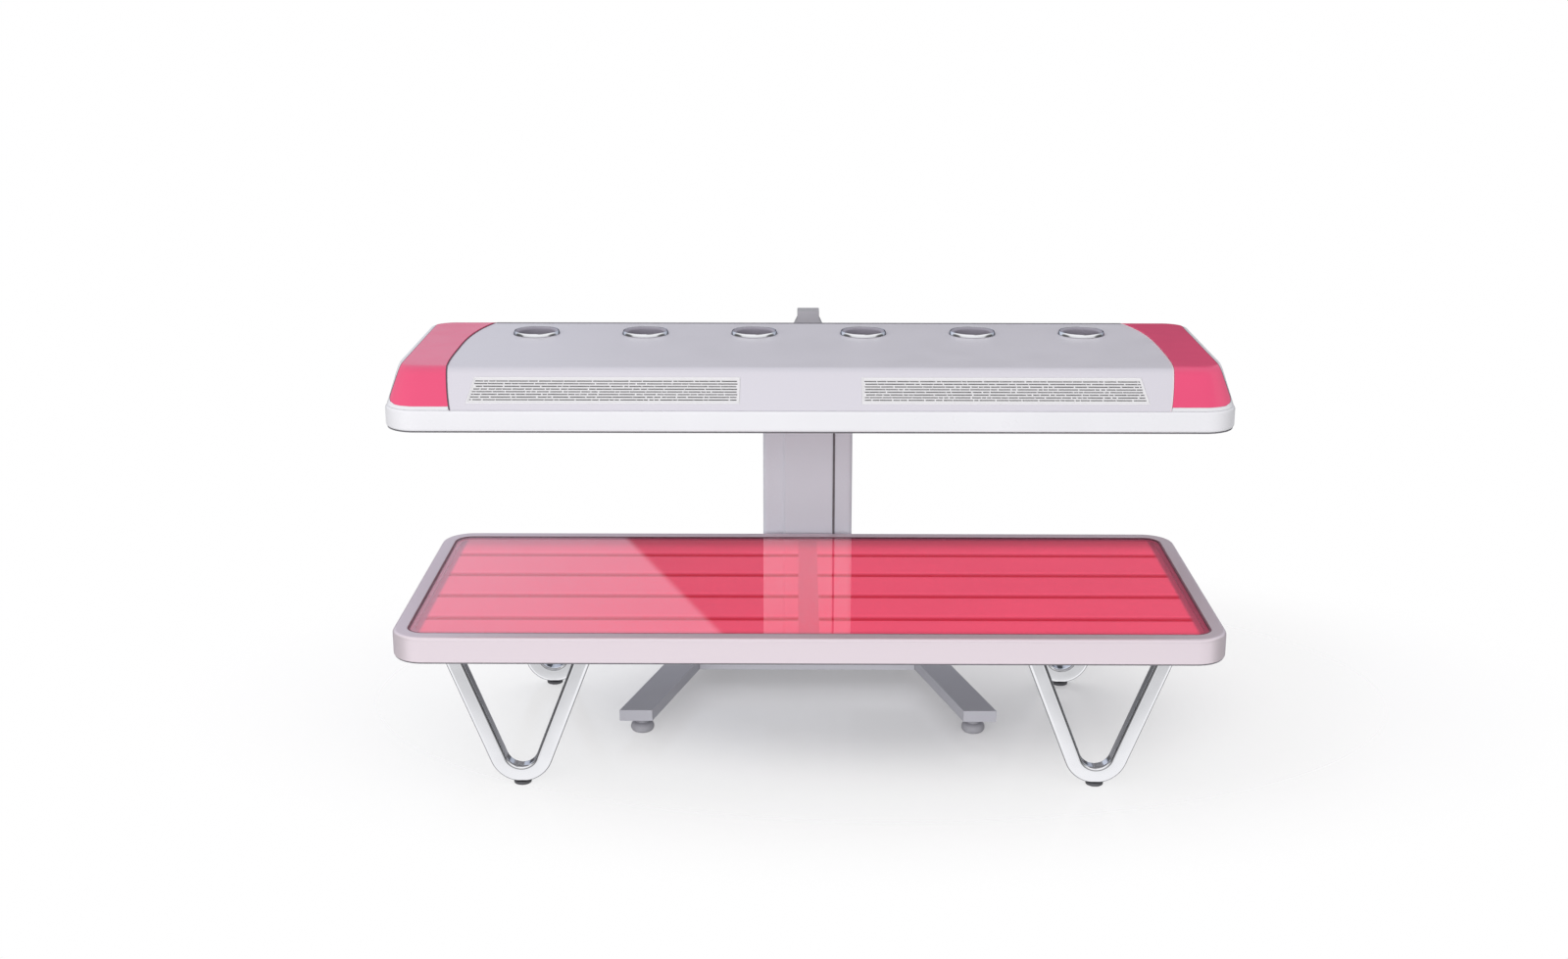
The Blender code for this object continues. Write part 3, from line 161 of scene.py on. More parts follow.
# Canopy
CANOPY_Y = -0.060
CANOPY_Z = 0.897
CANOPY_LENGTH = 2.000
CANOPY_DEPTH = 0.782
CANOPY_HEIGHT = 0.128
TRAY_HEIGHT = 0.0515
TRAY_CORNER = 0.080
TRAY_WALL = 0.004
TRAY_EDGE = 0.008
TRAY_TOP_FLANGE = 0.030
TRAY_BOTTOM_FLANGE = 0.050
TRAY_FLANGE_THICK = 0.005
ARM_X = 0.070
ARM_SLOT_HALF = 0.0253
ARM_SLOT_HEIGHT = 0.0203
SLOPE_RUN = 0.112
COVER_SETBACK = 0.003
COVER_WALL = 0.0025
CREASE_RADIUS = 0.060
# Height of the grey strip of painted shade along the cover's rear edge, and the lift of the painted strips
# over the cover
REAR_SHADE_PROUD = 0.0024
PAINTED_STRIP_LIFT = 0.0001
CAP_PROUD = 0.002
CAP_SETBACK = 0.0035
CAP_WALL = 0.003
CAP_BORDER = 0.0120
CAP_PANEL_TURN = math.radians(66)
CAP_PANEL_PROUD = 0.0008
CAP_PANEL_SUNK = 0.0024
CAP_GASKET = math.radians(7)
CAP_END_DRAFT = 0.016
CAP_TOP_CORNER = 0.055
CAP_CREASE_RADIUS = 0.080
CAP_PANEL_CORNER = 0.020
CAP_PANEL_DRIFT = 0.005
SEAM_X = 0.867
SEAM_FROM_FRONT = 0.311
SEAM_RADIUS = 1.000
SEAM_GAP = 0.0010
# Strips along the seams: painted shade on the left seam and a painted highlight on the right one, as if lit
# from the left
SEAM_WIDTH = 0.0028
SEAM_PROUD = 0.0008
SEAM_PAINTED_LIGHT = {"left": "seam_dark", "right": "seam_light"}

# Grilles: inner end and the outer end's top and bottom, then the plate, its slots and its raised border
GRILLE_SPANS = {"left": (-0.163, -0.790, -0.802), "right": (0.122, 0.779, 0.791)}
GRILLE_HEIGHT = 0.084
GRILLE_FROM_CREASE = 0.028
GRILLE_ROWS = 8
GRILLE_BORDER = 0.0105
GRILLE_SIDE = 0.0060
GRILLE_CORNER = 0.009
GRILLE_BEAD = ((0.0005, -0.0003), (0.0008, 0.0008), (0.0016, 0.0014),
               (0.0030, 0.0014), (0.0040, 0.0008), (0.0043, -0.0003))
SLOT_HEIGHT = 0.0043
DASH_LENGTHS = (0.010, 0.015, 0.021, 0.028, 0.036, 0.046)
DASH_GAPS = (0.0012, 0.0016, 0.0022, 0.0030)
LEAST_DASH = 0.004
DASH_SHIFT = 0.004
FOAM_INSET = (0.004, 0.003)
FOAM_DEPTH = (-0.009, -0.0045)

# Fans
FAN_X = (-0.6975, -0.4185, -0.1395, 0.1395, 0.4185, 0.6975)
FAN_Y = 0.133
RING_RADIUS = 0.0595
RING_HEIGHT = 0.009
RING_FOOT = 0.0010
RING_WAIST = (0.0012, 0.0045)
RING_LIP_RADIUS = 0.0545
RING_LIP_WIDTH = 0.0018
RING_LIP_EDGE = 0.0010
SLEEVE_RADIUS = 0.0485
SLEEVE_SKIN = 0.0481
SLEEVE_BORE = 0.046
SLEEVE_DEPTH = 0.014
SLEEVE_DROP = 0.0014
DECK_TOP = 0.092
ROTOR_RADIUS = 0.040
HUB_RADIUS = 0.018
HUB_HEIGHT = 0.020
HUB_EDGE = 0.003
HUB_FACE = ((0.0085, 0.0), (0.0078, -0.0006), (0.0050, -0.0006), (0.0042, 0.0), (0.0008, 0.0003))
BLADES = 7
BLADE_ROOT = 0.017
BLADE_HALF_CHORD = (0.0064, 0.0090)
BLADE_PITCH = (math.radians(42), math.radians(28))
BLADE_SWEEP = 0.22
BLADE_CAMBER = 0.0016
BLADE_THICK = 0.0007

# Edges
PLATE_EDGE = 0.001
SMALL_EDGE = 0.0006
LEAST_CORNER = 0.004
# Section of the grey strips under the rims, which paint the shade along their lower edges
UNDERLINE = ((0.0035, FIT), (0.0030, 0.0012), (0.0040, 0.0022),
             (0.0085, 0.0022), (0.0095, 0.0012), (0.0090, FIT))

# Studio
AMBIENT = 0.74
AMBIENT_TILT = 0.12
SIDE_LEVEL = 0.22
HORIZON_LEVEL = 0.25
OVERHEAD_LEVEL = 0.3
PANEL_LEVEL = 0.15
PANEL_SLANT = (0.7063, 0.2703, -0.6541)
FLOOR_RADIUS = 7.0
FLOOR_GLOW = 0.23
KEY_LEVEL = 0.50
KEY_DISTANCE = 12.0
KEY_WIDTH = 14.0
KEY_HEIGHT = 7.0
KEY_TURN = math.radians(18)
KEY_RISE = math.radians(8)
CAMERA_PLACE = (-0.028, -4.864, 2.028)
CAMERA_TILT = math.radians(90 - 15.74)
CAMERA_TURN = math.radians(0.41)
CAMERA_LENS = 45.0

# Facets
CORNER_STEPS = 20
EDGE_STEPS = 8
ROUND_STEPS = 72
RING_STEPS = 96
HUB_STEPS = 48
HEAD_STEPS = 24
BEND_STEPS = 32
SEAM_STEPS = 48
CREASE_STEPS = 12
GROOVE_STEPS = 6
BLADE_STEPS = 6
SHARP_ANGLE = math.radians(32)

# Light and body colour of the lamps, with the painted glows of the unlit panel ends and the gasket
LAMP_GLOW = (1.0, 0.090, 0.178)
GROOVE_GLOW = (0.62, 0.002, 0.030)
BAND_PAINTED_GLOW = (0.40, 0.056, 0.106)
GASKET_PAINTED_GLOW = (0.30, 0.034, 0.076)
LAMP_BODY = (0.20, 0.016, 0.032)

# Plans of the two rims: length, depth, corner radius and middle
BENCH_PLAN = (BENCH_LENGTH, BENCH_DEPTH, FRAME_CORNER, (0, BENCH_Y))
CANOPY_PLAN = (CANOPY_LENGTH, CANOPY_DEPTH, TRAY_CORNER, (0, CANOPY_Y))
SLOPE_ANGLE = math.atan2(CANOPY_HEIGHT - TRAY_HEIGHT - FIT, SLOPE_RUN - COVER_SETBACK)


def mix(start, end, share):
    """A value between two others."""
    return start + (end - start) * share


def spaced(count, pitch):
    """Evenly spaced places about zero."""
    return [(i - (count - 1) / 2) * pitch for i in range(count)]


def scaled(colour, factor):
    """A darker or lighter shade of a colour."""
    return tuple(min(1.0, channel * factor) for channel in colour)


class Graph:
    """The nodes of a material or of the world."""

    def __init__(self, tree, coordinates):
        self.tree = tree
        self.place = tree.nodes.new("ShaderNodeTexCoord").outputs[coordinates]

    def node(self, kind, links=(), **settings):
        """Add a node, set its properties and link or set its inputs by index or name."""
        node = self.tree.nodes.new(kind)
        for key, value in settings.items():
            setattr(node, key, value)
        for key, value in dict(links).items():
            if isinstance(value, bpy.types.NodeSocket):
                self.tree.links.new(value, node.inputs[key])
            else:
                node.inputs[key].default_value = value
        return node

    def mapped(self, value, start, end, low, high, curve="LINEAR"):
        """A value carried from one range into another."""
        links = dict(enumerate((value, start, end, low, high)))
        return self.node("ShaderNodeMapRange", links, interpolation_type=curve).outputs[0]

    def smooth(self, value, start, end, low=0.0, high=1.0):
        """A soft step from one level to another."""
        return self.mapped(value, start, end, low, high, "SMOOTHSTEP")

    def blend(self, share, low, high):
        """A value between two others."""
        return self.mapped(share, 0.0, 1.0, low, high)

    def band(self, value, start, full, ease, end, before=0.0, after=0.0):
        """A soft rise to one and a soft fall from it."""
        rise = self.smooth(value, start, full, before)
        return self.product(rise, self.smooth(value, ease, end, 1.0, after))

    def math(self, operation, a, b=0.0):
        """One step of arithmetic."""
        return self.node("ShaderNodeMath", {0: a, 1: b}, operation=operation).outputs[0]

    def product(self, first, *others):
        """Several values multiplied."""
        for other in others:
            first = self.math("MULTIPLY", first, other)
        return first

    def between(self, factor, first, second):
        """A colour mixed between two others."""
        links = {0: factor}
        for index, colour in ((6, first), (7, second)):
            links[index] = (*colour, 1.0) if isinstance(colour, tuple) else colour
        return self.node("ShaderNodeMix", links, data_type="RGBA").outputs[2]

    def shaded(self, factor, colour, low, high=1.0):
        """A colour mixed between two shades of it."""
        return self.between(factor, scaled(colour, low), scaled(colour, high))

    def axes(self):
        """The three coordinates of the place."""
        return self.node("ShaderNodeSeparateXYZ", {0: self.place}).outputs


class Finish(Graph):
    """A node material around one Principled shader, whose sockets are named with underscores."""

    def __init__(self, name, **sockets):
        self.material = bpy.data.materials.new(name)
        self.material.use_nodes = True
        super().__init__(self.material.node_tree, "Object")
        self.shader = self.tree.nodes["Principled BSDF"]
        for label, value in sockets.items():
            self.socket(label).default_value = (*value, 1.0) if isinstance(value, tuple) else value

    def socket(self, label):
        """An input of the shader."""
        return self.shader.inputs[label.replace("_", " ")]

    def feed(self, **outputs):
        """Link outputs to inputs of the shader."""
        for label, output in outputs.items():
            self.tree.links.new(output, self.socket(label))

    def noise(self, scale, detail, roughness=0.5, stretch=None):
        """Noise in metres, stretched along an axis where asked."""
        place = self.place
        if stretch:
            place = self.node("ShaderNodeMapping", {"Vector": place, "Scale": stretch}).outputs[0]
        links = {"Vector": place, "Scale": scale, "Detail": detail, "Roughness": roughness}
        return self.node("ShaderNodeTexNoise", links).outputs[0]

    def drift(self, scale, detail, low=0.0, high=1.0):
        """Noise that drifts between two values."""
        return self.mapped(self.noise(scale, detail), 0.3, 0.7, low, high)

    def cells(self, scale):
        """Random value of each cell of a fine grain."""
        node = self.node("ShaderNodeTexVoronoi", {"Vector": self.place, "Scale": scale})
        return node.outputs["Color"]

    def bump(self, height, distance):
        """Raise the surface by a height."""
        links = {"Height": height, "Distance": distance, "Strength": 1.0}
        self.feed(Normal=self.node("ShaderNodeBump", links).outputs[0])

    def grain(self, scale, detail, distance):
        """Raise the surface by a noise."""
        self.bump(self.noise(scale, detail), distance)

    def uneven(self, colour, spread, scale):
        """Feed the colour with a slight drift of brightness."""
        self.feed(Base_Color=self.shaded(self.drift(scale, 3.0), colour, 1 - spread, 1 + spread))

    def worn(self, roughness, spread, scale):
        """Feed the roughness with a slight drift."""
        self.feed(Roughness=self.drift(scale, 4.0, roughness - spread, roughness + spread))


def coat(name, colour, roughness, patches, wear, grain, **sockets):
    """A coat with slight drifts of colour and gloss over a fine grain."""
    finish = Finish(name, **sockets)
    finish.uneven(colour, *patches)
    finish.worn(roughness, *wear)
    finish.grain(*grain)
    return finish.material


def painted(name, colour, roughness):
    """Powder coat: a fine orange peel and a slight speckle."""
    return coat(name, colour, roughness, (0.03, 900.0), (0.05, 14.0), (520.0, 2.0, 0.00004),
                Specular_IOR_Level=0.35)


def chrome(name, colour, roughness):
    """Polished plating with faint wiping marks."""
    return coat(name, colour, roughness, (0.015, 9.0), (0.025, 22.0), (5.0, 1.0, 0.00025),
                Metallic=1.0, Specular_Tint=(0.40, 0.40, 0.44))


def moulded(name, colour, roughness, grain=700.0):
    """Moulded plastic or rubber with a fine spark-eroded grain."""
    return coat(name, colour, roughness, (0.12, 60.0), (0.06, 30.0), (grain, 3.0, 0.00006),
                Specular_IOR_Level=0.4)


def gloss(name, colour, roughness, specular):
    """Gloss plastic with a faint waviness of the moulding."""
    return coat(name, colour, roughness, (0.018, 5.0), (0.03, 17.0), (7.0, 2.0, 0.0002),
                Specular_IOR_Level=specular)


def zinc(name, colour, roughness):
    """Zinc plated sheet with its spangle."""
    finish = Finish(name, Metallic=0.8)
    spangle = finish.cells(70.0)
    finish.feed(Base_Color=finish.shaded(spangle, colour, 0.86),
                Roughness=finish.blend(spangle, roughness - 0.08, roughness + 0.08))
    finish.grain(260.0, 2.0, 0.00003)
    return finish.material


def satin_silver(name, colour, roughness, stretch):
    """Anodised aluminium with hair lines along the profile."""
    finish = Finish(name, Metallic=0.40, Specular_IOR_Level=0.4, Specular_Tint=(0.45, 0.45, 0.52))
    lines = finish.noise(6.0, 4.0, 0.6, stretch)
    finish.feed(Base_Color=finish.shaded(lines, colour, 0.97, 1.03),
                Roughness=finish.mapped(lines, 0.3, 0.7, roughness - 0.05, roughness + 0.05))
    finish.bump(lines, 0.000005)
    return finish.material


def lacquer(name, colour, roughness):
    """Silver lacquer: metal flakes under a thin clear coat."""
    finish = Finish(name, Metallic=0.1, Specular_IOR_Level=0.3, Coat_Weight=0.08, Coat_Roughness=0.25)
    finish.feed(Base_Color=finish.shaded(finish.cells(2600.0), colour, 0.955, 1.045))
    finish.worn(roughness, 0.04, 11.0)
    finish.grain(240.0, 2.0, 0.00002)
    return finish.material


def clear(name, colour):
    """Clear polished sheet with a trace of wiping marks."""
    finish = Finish(name, Transmission_Weight=1.0, IOR=1.36, Base_Color=colour)
    finish.worn(0.002, 0.002, 6.0)
    return finish.material


def lamp(name, strength, spill, grooves=False):
    """Lit lamp strips: a soft glow, dimmer in the grooves, with painted shade towards the front and rear
    edges and a painted glow on the unlit ends.

    The spill is the share of the light that reaches what stands round.
    """
    finish = Finish(name, Roughness=0.5, Specular_IOR_Level=0.2, Base_Color=LAMP_BODY)
    half = PANEL_HALF_DEPTH
    x, y, _ = finish.axes()
    y = finish.math("SUBTRACT", y, BENCH_Y)
    glow = finish.shaded(finish.drift(3.2, 2.0), LAMP_GLOW, 0.95)
    levels = [strength, finish.smooth(x, -0.95, 0.15, 0.80)]
    # Dimmer towards the front and rear edges: painted shade under the rim
    levels.append(finish.band(y, -half, 0.025 - half, half - 0.10, half, 0.72, 0.52))
    if grooves:
        turn = finish.math("DIVIDE", finish.math("SUBTRACT", y, GROOVE_MIDDLE), GROOVE_PITCH)
        turn = finish.math("SUBTRACT", finish.math("FRACT", turn), 0.5)
        offset = finish.math("MULTIPLY", turn, GROOVE_PITCH)
        edge = finish.smooth(finish.math("ABSOLUTE", offset), 0.005, GROOVE_HALF_WIDTH)
        glow = finish.between(edge, GROOVE_GLOW, glow)
        ridge = finish.band(offset, GROOVE_HALF_WIDTH, 0.020, 0.022, 0.032)
        levels.append(finish.blend(ridge, 1.0, 1.10))
    # Past the strips the panel has no lamps: its ends get a dimmer painted glow
    ends = finish.smooth(finish.math("ABSOLUTE", x), PANEL_STRIP_END - 0.006, PANEL_STRIP_END + 0.006)
    bounces = finish.node("ShaderNodeLightPath").outputs["Diffuse Depth"]
    levels.append(finish.blend(bounces, 1.0, spill))
    finish.feed(Emission_Color=finish.between(ends, glow, BAND_PAINTED_GLOW),
                Emission_Strength=finish.product(*levels))
    finish.grain(900.0, 2.0, 0.00004)
    return finish.material


def lit_gasket(name, glow):
    """Clear silicone with a painted glow, standing in for lamp light that it carries."""
    finish = Finish(name, Roughness=0.45, Base_Color=LAMP_BODY, Emission_Strength=1.0)
    finish.feed(Emission_Color=finish.shaded(finish.drift(40.0, 3.0), glow, 0.9))
    finish.grain(600.0, 2.0, 0.00003)
    return finish.material


ALONG_X = (1.0, 300.0, 300.0)
ALONG_Z = (300.0, 300.0, 1.0)
COATS = {
    satin_silver: {
        # The rim's silver is tinted pink: painted light of the lamps on it
        "satin_silver": ((0.83, 0.735, 0.785), 0.36, ALONG_X),
        "mast_silver": ((0.62, 0.61, 0.64), 0.34, ALONG_Z),
        "bright_steel": ((0.58, 0.58, 0.60), 0.25, ALONG_Z),
    },
    lacquer: {"silver_lacquer": ((0.735, 0.71, 0.775), 0.42)},
    clear: {
        "clear_acrylic": ((1.0, 0.985, 0.99),),
        "clear_diffuser": ((1.0, 0.97, 0.975),),
    },
    moulded: {
        "dark_rubber": ((0.10, 0.10, 0.108), 0.65),
        "seal_rubber": ((0.25, 0.105, 0.145), 0.55),
        # Dark rose: painted shade on the left seam strip, and the dark of the gaskets round the pink panels
        "seam_dark": ((0.150, 0.085, 0.115), 0.5),
        # Grey of the strips that paint shade: under the rims, beside the column strip and along the canopy's
        # rear edge
        "gasket_grey": ((0.22, 0.215, 0.235), 0.6),
        "dark_plastic": ((0.055, 0.055, 0.062), 0.48),
        "fan_grey": ((0.16, 0.16, 0.175), 0.45),
        "filter_foam": ((0.035, 0.033, 0.036), 0.8, 300.0),
    },
    gloss: {
        # Light pink: a painted highlight on the right seam strip
        "seam_light": ((0.86, 0.74, 0.79), 0.30, 0.4),
        "white_gloss": ((0.82, 0.815, 0.85), 0.30, 0.5),
        "pink_gloss": ((0.85, 0.088, 0.208), 0.22, 0.3),
    },
    zinc: {
        "zinc_sheet": ((0.56, 0.56, 0.58), 0.42),
        "driver_case": ((0.48, 0.48, 0.50), 0.38),
        "screw_steel": ((0.55, 0.55, 0.57), 0.30),
    },
    chrome: {
        "chrome_tube": ((0.90, 0.90, 0.91), 0.085),
        "chrome_ring": ((0.88, 0.88, 0.89), 0.075),
    },
    painted: {
        "grey_paint": ((0.53, 0.525, 0.575), 0.42),
        # Lighter copies of the grey paint: painted light that offsets the shade under canopy and bench; the
        # column's copy is also tinted blue against the pink lamp light
        "column_paint": ((0.775, 0.81, 0.885), 0.40),
        "beam_paint": ((0.68, 0.675, 0.73), 0.40),
        "grey_foot": ((0.41, 0.405, 0.44), 0.34),
        "sleeve_grey": ((0.37, 0.345, 0.41), 0.36),
        "bracket_paint": ((0.46, 0.45, 0.48), 0.42),
        "grille_white": ((0.80, 0.79, 0.81), 0.45),
    },
    lamp: {
        "lamp_strips": (0.99, 0.10, True),
        # The centre rail is no lamp: its glow is painted lamp light
        "lamp_joint": (0.80, 0.10),
        "canopy_lamps": (0.33, 1.0, True),
    },
    lit_gasket: {"lit_gasket": (GASKET_PAINTED_GLOW,)},
}
SURFACES = {name: make(name, *values) for make, rows in COATS.items() for name, values in rows.items()}

# Copies of CAD pieces: surface, slot, body, the width of the eased edges and the nodes
DRESSED = (
    ("zinc_sheet", "zinc_sheet", "bed", 0.0006, "bench_pan"),
    ("zinc_sheet", "zinc_sheet", "lift", 0.0004, "fan_deck"),
    # The centre rail glows with painted lamp light
    ("lamp_joint", "lamp_panel", "bed", 0.0008, "bench_centre_rail"),
    ("canopy_lamps", "lamp_panel", "lift", 0.0006, "canopy_led_panel_left", "canopy_led_panel_right"),
    ("grey_paint", "grey_paint", "bed", 0.0018, "base_leg_left", "base_leg_right"),
    ("beam_paint", "grey_paint", "bed", 0.0015, "base_crossbeam"),
    ("column_paint", "grey_paint", "bed", 0.0008, "column_profile"),
    ("dark_plastic", "dark_plastic", "bed", 0.0008, "column_collar"),
    ("dark_plastic", "dark_plastic", "bed", 0.0006, "mains_inlet"),
    ("dark_plastic", "dark_plastic", "bed", 0.0005, "switch_frame"),
    ("dark_plastic", "dark_plastic", "bed", 0.001, "lift_actuator"),
    ("dark_plastic", "dark_plastic", "lift", 0.0008, "mast_guide_shoe"),
    ("fan_grey", "dark_plastic", "rocker", 0.0008, "power_rocker"),
    ("mast_silver", "silver_frame", "lift", 0.0008, "lift_mast"),
    ("bracket_paint", "bracket_paint", "lift", 0.0015, "canopy_bracket"),
    ("clear_diffuser", "clear_sheet", "lift", 0.0006, "canopy_diffuser"),
    ("dark_rubber", "dark_rubber", "lift", 0.0004, "canopy_diffuser_seal"),
)

# CAD pieces that stay: surface and nodes
PLAIN = (
    ("bright_steel", "actuator_rod"),
    ("zinc_sheet", "bench_cross_rail_left", "bench_cross_rail_right"),
    ("driver_case", "bench_led_driver", "canopy_led_driver"),
)


def linked(name, data):
    """A new object in the scene."""
    obj = bpy.data.objects.new(name, data)
    bpy.context.scene.collection.objects.link(obj)
    return obj


def mesh_of(name, bm):
    """Turn a bmesh into a mesh."""
    mesh = bpy.data.meshes.new(name)
    bm.to_mesh(mesh)
    bm.free()
    return mesh


def shape(name, bm, surface):
    """Turn a bmesh into an object, smooth between its edges."""
    bmesh.ops.recalc_face_normals(bm, faces=bm.faces)
    mesh = mesh_of(name, bm)
    mesh.materials.append(SURFACES[surface])
    mesh.shade_smooth()
    mesh.set_sharp_from_angle(angle=SHARP_ANGLE)
    return linked(name, mesh)


def piece(name, bm, surface, slot, body, *nodes):
    """A new piece of the object on its body, which hides the nodes that it stands for. The slot is not used.
    """
    obj = shape(name, bm, surface)
    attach(obj, body)
    if nodes:
        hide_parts(*nodes)
    return obj


def round_edges(obj, width, angle=40):
    """Ease the sharp edges of a piece."""
    bevel = obj.modifiers.new("edges", "BEVEL")
    bevel.width = width
    bevel.segments = 3
    bevel.limit_method = "ANGLE"
    bevel.angle_limit = math.radians(angle)
    bevel.harden_normals = True


def even_normals(obj):
    """Keep wide faces flat in the shading beside round edges."""
    weighted = obj.modifiers.new("normals", "WEIGHTED_NORMAL")
    weighted.keep_sharp = True


def faced(obj, surface, chosen):
    """Give the faces that a test picks by their normal a second material."""
    obj.data.materials.append(SURFACES[surface])
    for face in obj.data.polygons:
        face.material_index = int(chosen(face.normal))


def dressed(node, surface, slot, body, width):
    """A copy of a CAD piece with eased edges, which stands for it."""
    bm = bmesh.new()
    bm.from_mesh(NODES[node].data)
    bmesh.ops.remove_doubles(bm, verts=bm.verts, dist=0.00001)
    bmesh.ops.dissolve_limit(bm, angle_limit=math.radians(1.0), verts=bm.verts, edges=bm.edges)
    obj = piece(node + "_dressed", bm, surface, slot, body, node)
    round_edges(obj, width)
    return obj


def loft(loops, ring=False, bm=None):
    """Skin loops of equal count, and close the ends or join them into a ring."""
    bm = bm or bmesh.new()
    rows = [[bm.verts.new(point) for point in loop] for loop in loops]
    count = len(rows[0])
    pairs = list(zip(rows, rows[1:]))
    if ring:
        pairs.append((rows[-1], rows[0]))
    for lower, upper in pairs:
        for i in range(count):
            j = (i + 1) % count
            bm.faces.new((lower[i], lower[j], upper[j], upper[i]))
    if not ring:
        bm.faces.new(list(reversed(rows[0])))
        bm.faces.new(rows[-1])
    return bm


def arc(centre, radius, start, end, steps):
    """Points on a circle from one angle to another."""
    angles = [mix(start, end, i / steps) for i in range(steps + 1)]
    return [(centre[0] + radius * math.cos(a), centre[1] + radius * math.sin(a)) for a in angles]


def circle(radius, steps):
    """Points round a circle about zero."""
    return arc((0, 0), radius, 0, 2 * math.pi, steps)[:-1]


def oblong(x, y):
    """Corners between two limits on each axis."""
    return [(x[0], y[0]), (x[1], y[0]), (x[1], y[1]), (x[0], y[1])]


def bend(x, y, radius, quadrant, steps):
    """A quarter round in place of an outer corner that points into a quadrant, counter-clockwise."""
    sx, sy = QUADRANTS[quadrant]
    centre = (x - sx * radius, y - sy * radius)
    return arc(centre, radius, quadrant * QUARTER, (quadrant + 1) * QUARTER, steps)


def rounded_rectangle(width, depth, radius, steps):
    """Plan outline of a rectangle with round corners, counter-clockwise."""
    points = []
    for quadrant, (sx, sy) in enumerate(QUADRANTS):
        points += bend(sx * width / 2, sy * depth / 2, radius, quadrant, steps)
    return points


def level(outline, z, origin=(0, 0)):
    """Lift a plan outline to a height."""
    return [Vector((x + origin[0], y + origin[1], z)) for x, y in outline]


def upright(outline, z, bm=None):
    """A plan outline drawn up between two heights."""
    return loft([level(outline, z[0]), level(outline, z[1])], bm=bm)


def contours(plan, section, steps=CORNER_STEPS):
    """Outlines of a rounded rectangle at the insets and heights of a section."""
    length, depth, corner, origin = plan
    loops = []
    for inset, z in section:
        radius = max(corner - inset, LEAST_CORNER)
        outline = rounded_rectangle(length - 2 * inset, depth - 2 * inset, radius, steps)
        loops.append(level(outline, z, origin))
    return loops


def rim(plan, section, steps=CORNER_STEPS):
    """A closed section of insets and heights, carried round a rounded rectangle."""
    return loft(contours(plan, section, steps), ring=True)


def slab(plan, bottom, top, inset=0, steps=CORNER_STEPS):
    """A plate with round corners and a small chamfer round both faces."""
    section = [(inset + PLATE_EDGE, bottom), (inset, bottom + PLATE_EDGE)]
    section += [(inset, top - PLATE_EDGE), (inset + PLATE_EDGE, top)]
    return loft(contours(plan, section, steps))


def turned(profile, centre, ring=False, steps=ROUND_STEPS, bm=None):
    """Radii and heights turned about a vertical axis."""
    return loft([level(circle(radius, steps), z, centre) for radius, z in profile], ring, bm)


def eased(points, radius, steps):
    """A path of three points with its middle one rounded."""
    start, corner, end = [Vector(point) for point in points]
    back = (start - corner).normalized()
    ahead = (end - corner).normalized()
    half = back.angle(ahead) / 2
    setback = radius / math.tan(half)
    middle = corner + (back + ahead).normalized() * radius / math.sin(half)
    spoke = corner + back * setback - middle
    turn = spoke.angle_signed(corner + ahead * setback - middle)
    bow = [middle + Matrix.Rotation(-turn * i / steps, 2) @ spoke for i in range(steps + 1)]
    return [start] + bow + [end]


def divided(ends, steps):
    """Evenly spaced points from one end to the other."""
    return [ends[0].lerp(ends[1], i / steps) for i in range(steps + 1)]


def carved(bm, *tools):
    """Cut shapes from a closed shape."""
    body = shape("carved_body", bm, "dark_plastic")
    cutters = []
    for tool in tools:
        cutter = shape("carving_tool", tool, "dark_plastic")
        cut = body.modifiers.new("cut", "BOOLEAN")
        cut.object = cutter
        cut.solver = "EXACT"
        cutters.append(cutter)
    result = bmesh.new()
    result.from_object(body, bpy.context.evaluated_depsgraph_get())
    for obj in [body] + cutters:
        mesh = obj.data
        bpy.data.objects.remove(obj)
        bpy.data.meshes.remove(mesh)
    return result


def spun(bm, put, profile, steps):
    """Radii and heights turned about an axis that a matrix puts into place."""
    loft([[put @ point for point in level(circle(radius, steps), z)] for radius, z in profile], bm=bm)


def screw_head(bm, put, radius, height):
    """A domed screw head with a round socket, standing on a face."""
    foot = height * 0.35
    socket = radius * 0.42
    profile = [(radius, 0.0), (radius, foot)]
    profile += [(r, z + foot) for r, z in arc((radius * 0.45, 0), height * 0.65, 0.3, 1.45, 4)]
    profile += [(socket, height * 0.95), (socket, height * 0.45)]
    spun(bm, put, profile, HEAD_STEPS)


def hex_bolt(bm, put, radius, height):
    """A hexagon bolt head on its washer."""
    seat = height * 0.25
    washer = [(radius * 1.25, 0.0), (radius * 1.25, height * 0.22), (radius * 1.05, seat)]
    spun(bm, put, washer, HEAD_STEPS)
    spun(bm, put, [(radius, seat), (radius, height * 0.88), (radius * 0.86, height)], 6)


def fasteners(name, head, size, slot, body, *groups):
    """Heads of one kind and size as one piece. Each group gives an axis and its places."""
    bm = bmesh.new()
    for axis, places in groups:
        turn = Vector(UP).rotation_difference(Vector(axis)).to_matrix().to_4x4()
        for place in places:
            head(bm, Matrix.Translation(place) @ turn, *size)
    piece(name, bm, "screw_steel", slot, body)


def rim_screws(name, plan, bottom, inset, pitch, size, slot, body):
    """Screws under a rim, along its long sides and its ends."""
    length, depth, _, (_, y) = plan
    rows = (y + inset - depth / 2, y + depth / 2 - inset)
    ends = (inset - length / 2, length / 2 - inset)
    places = list(grid(spaced(11, 0.180), rows, (bottom,)))
    places += grid(ends, [y + offset for offset in spaced(4, pitch)], (bottom,))
    fasteners(name, screw_head, size, slot, body, (DOWN, places))


def underline(name, plan, bottom, body):
    """Grey strip under the outer edge of a rim: painted shade along its lower edge."""
    section = [(inset, bottom - drop) for inset, drop in UNDERLINE]
    piece(name, rim(plan, section), "gasket_grey", "dark_rubber", body)


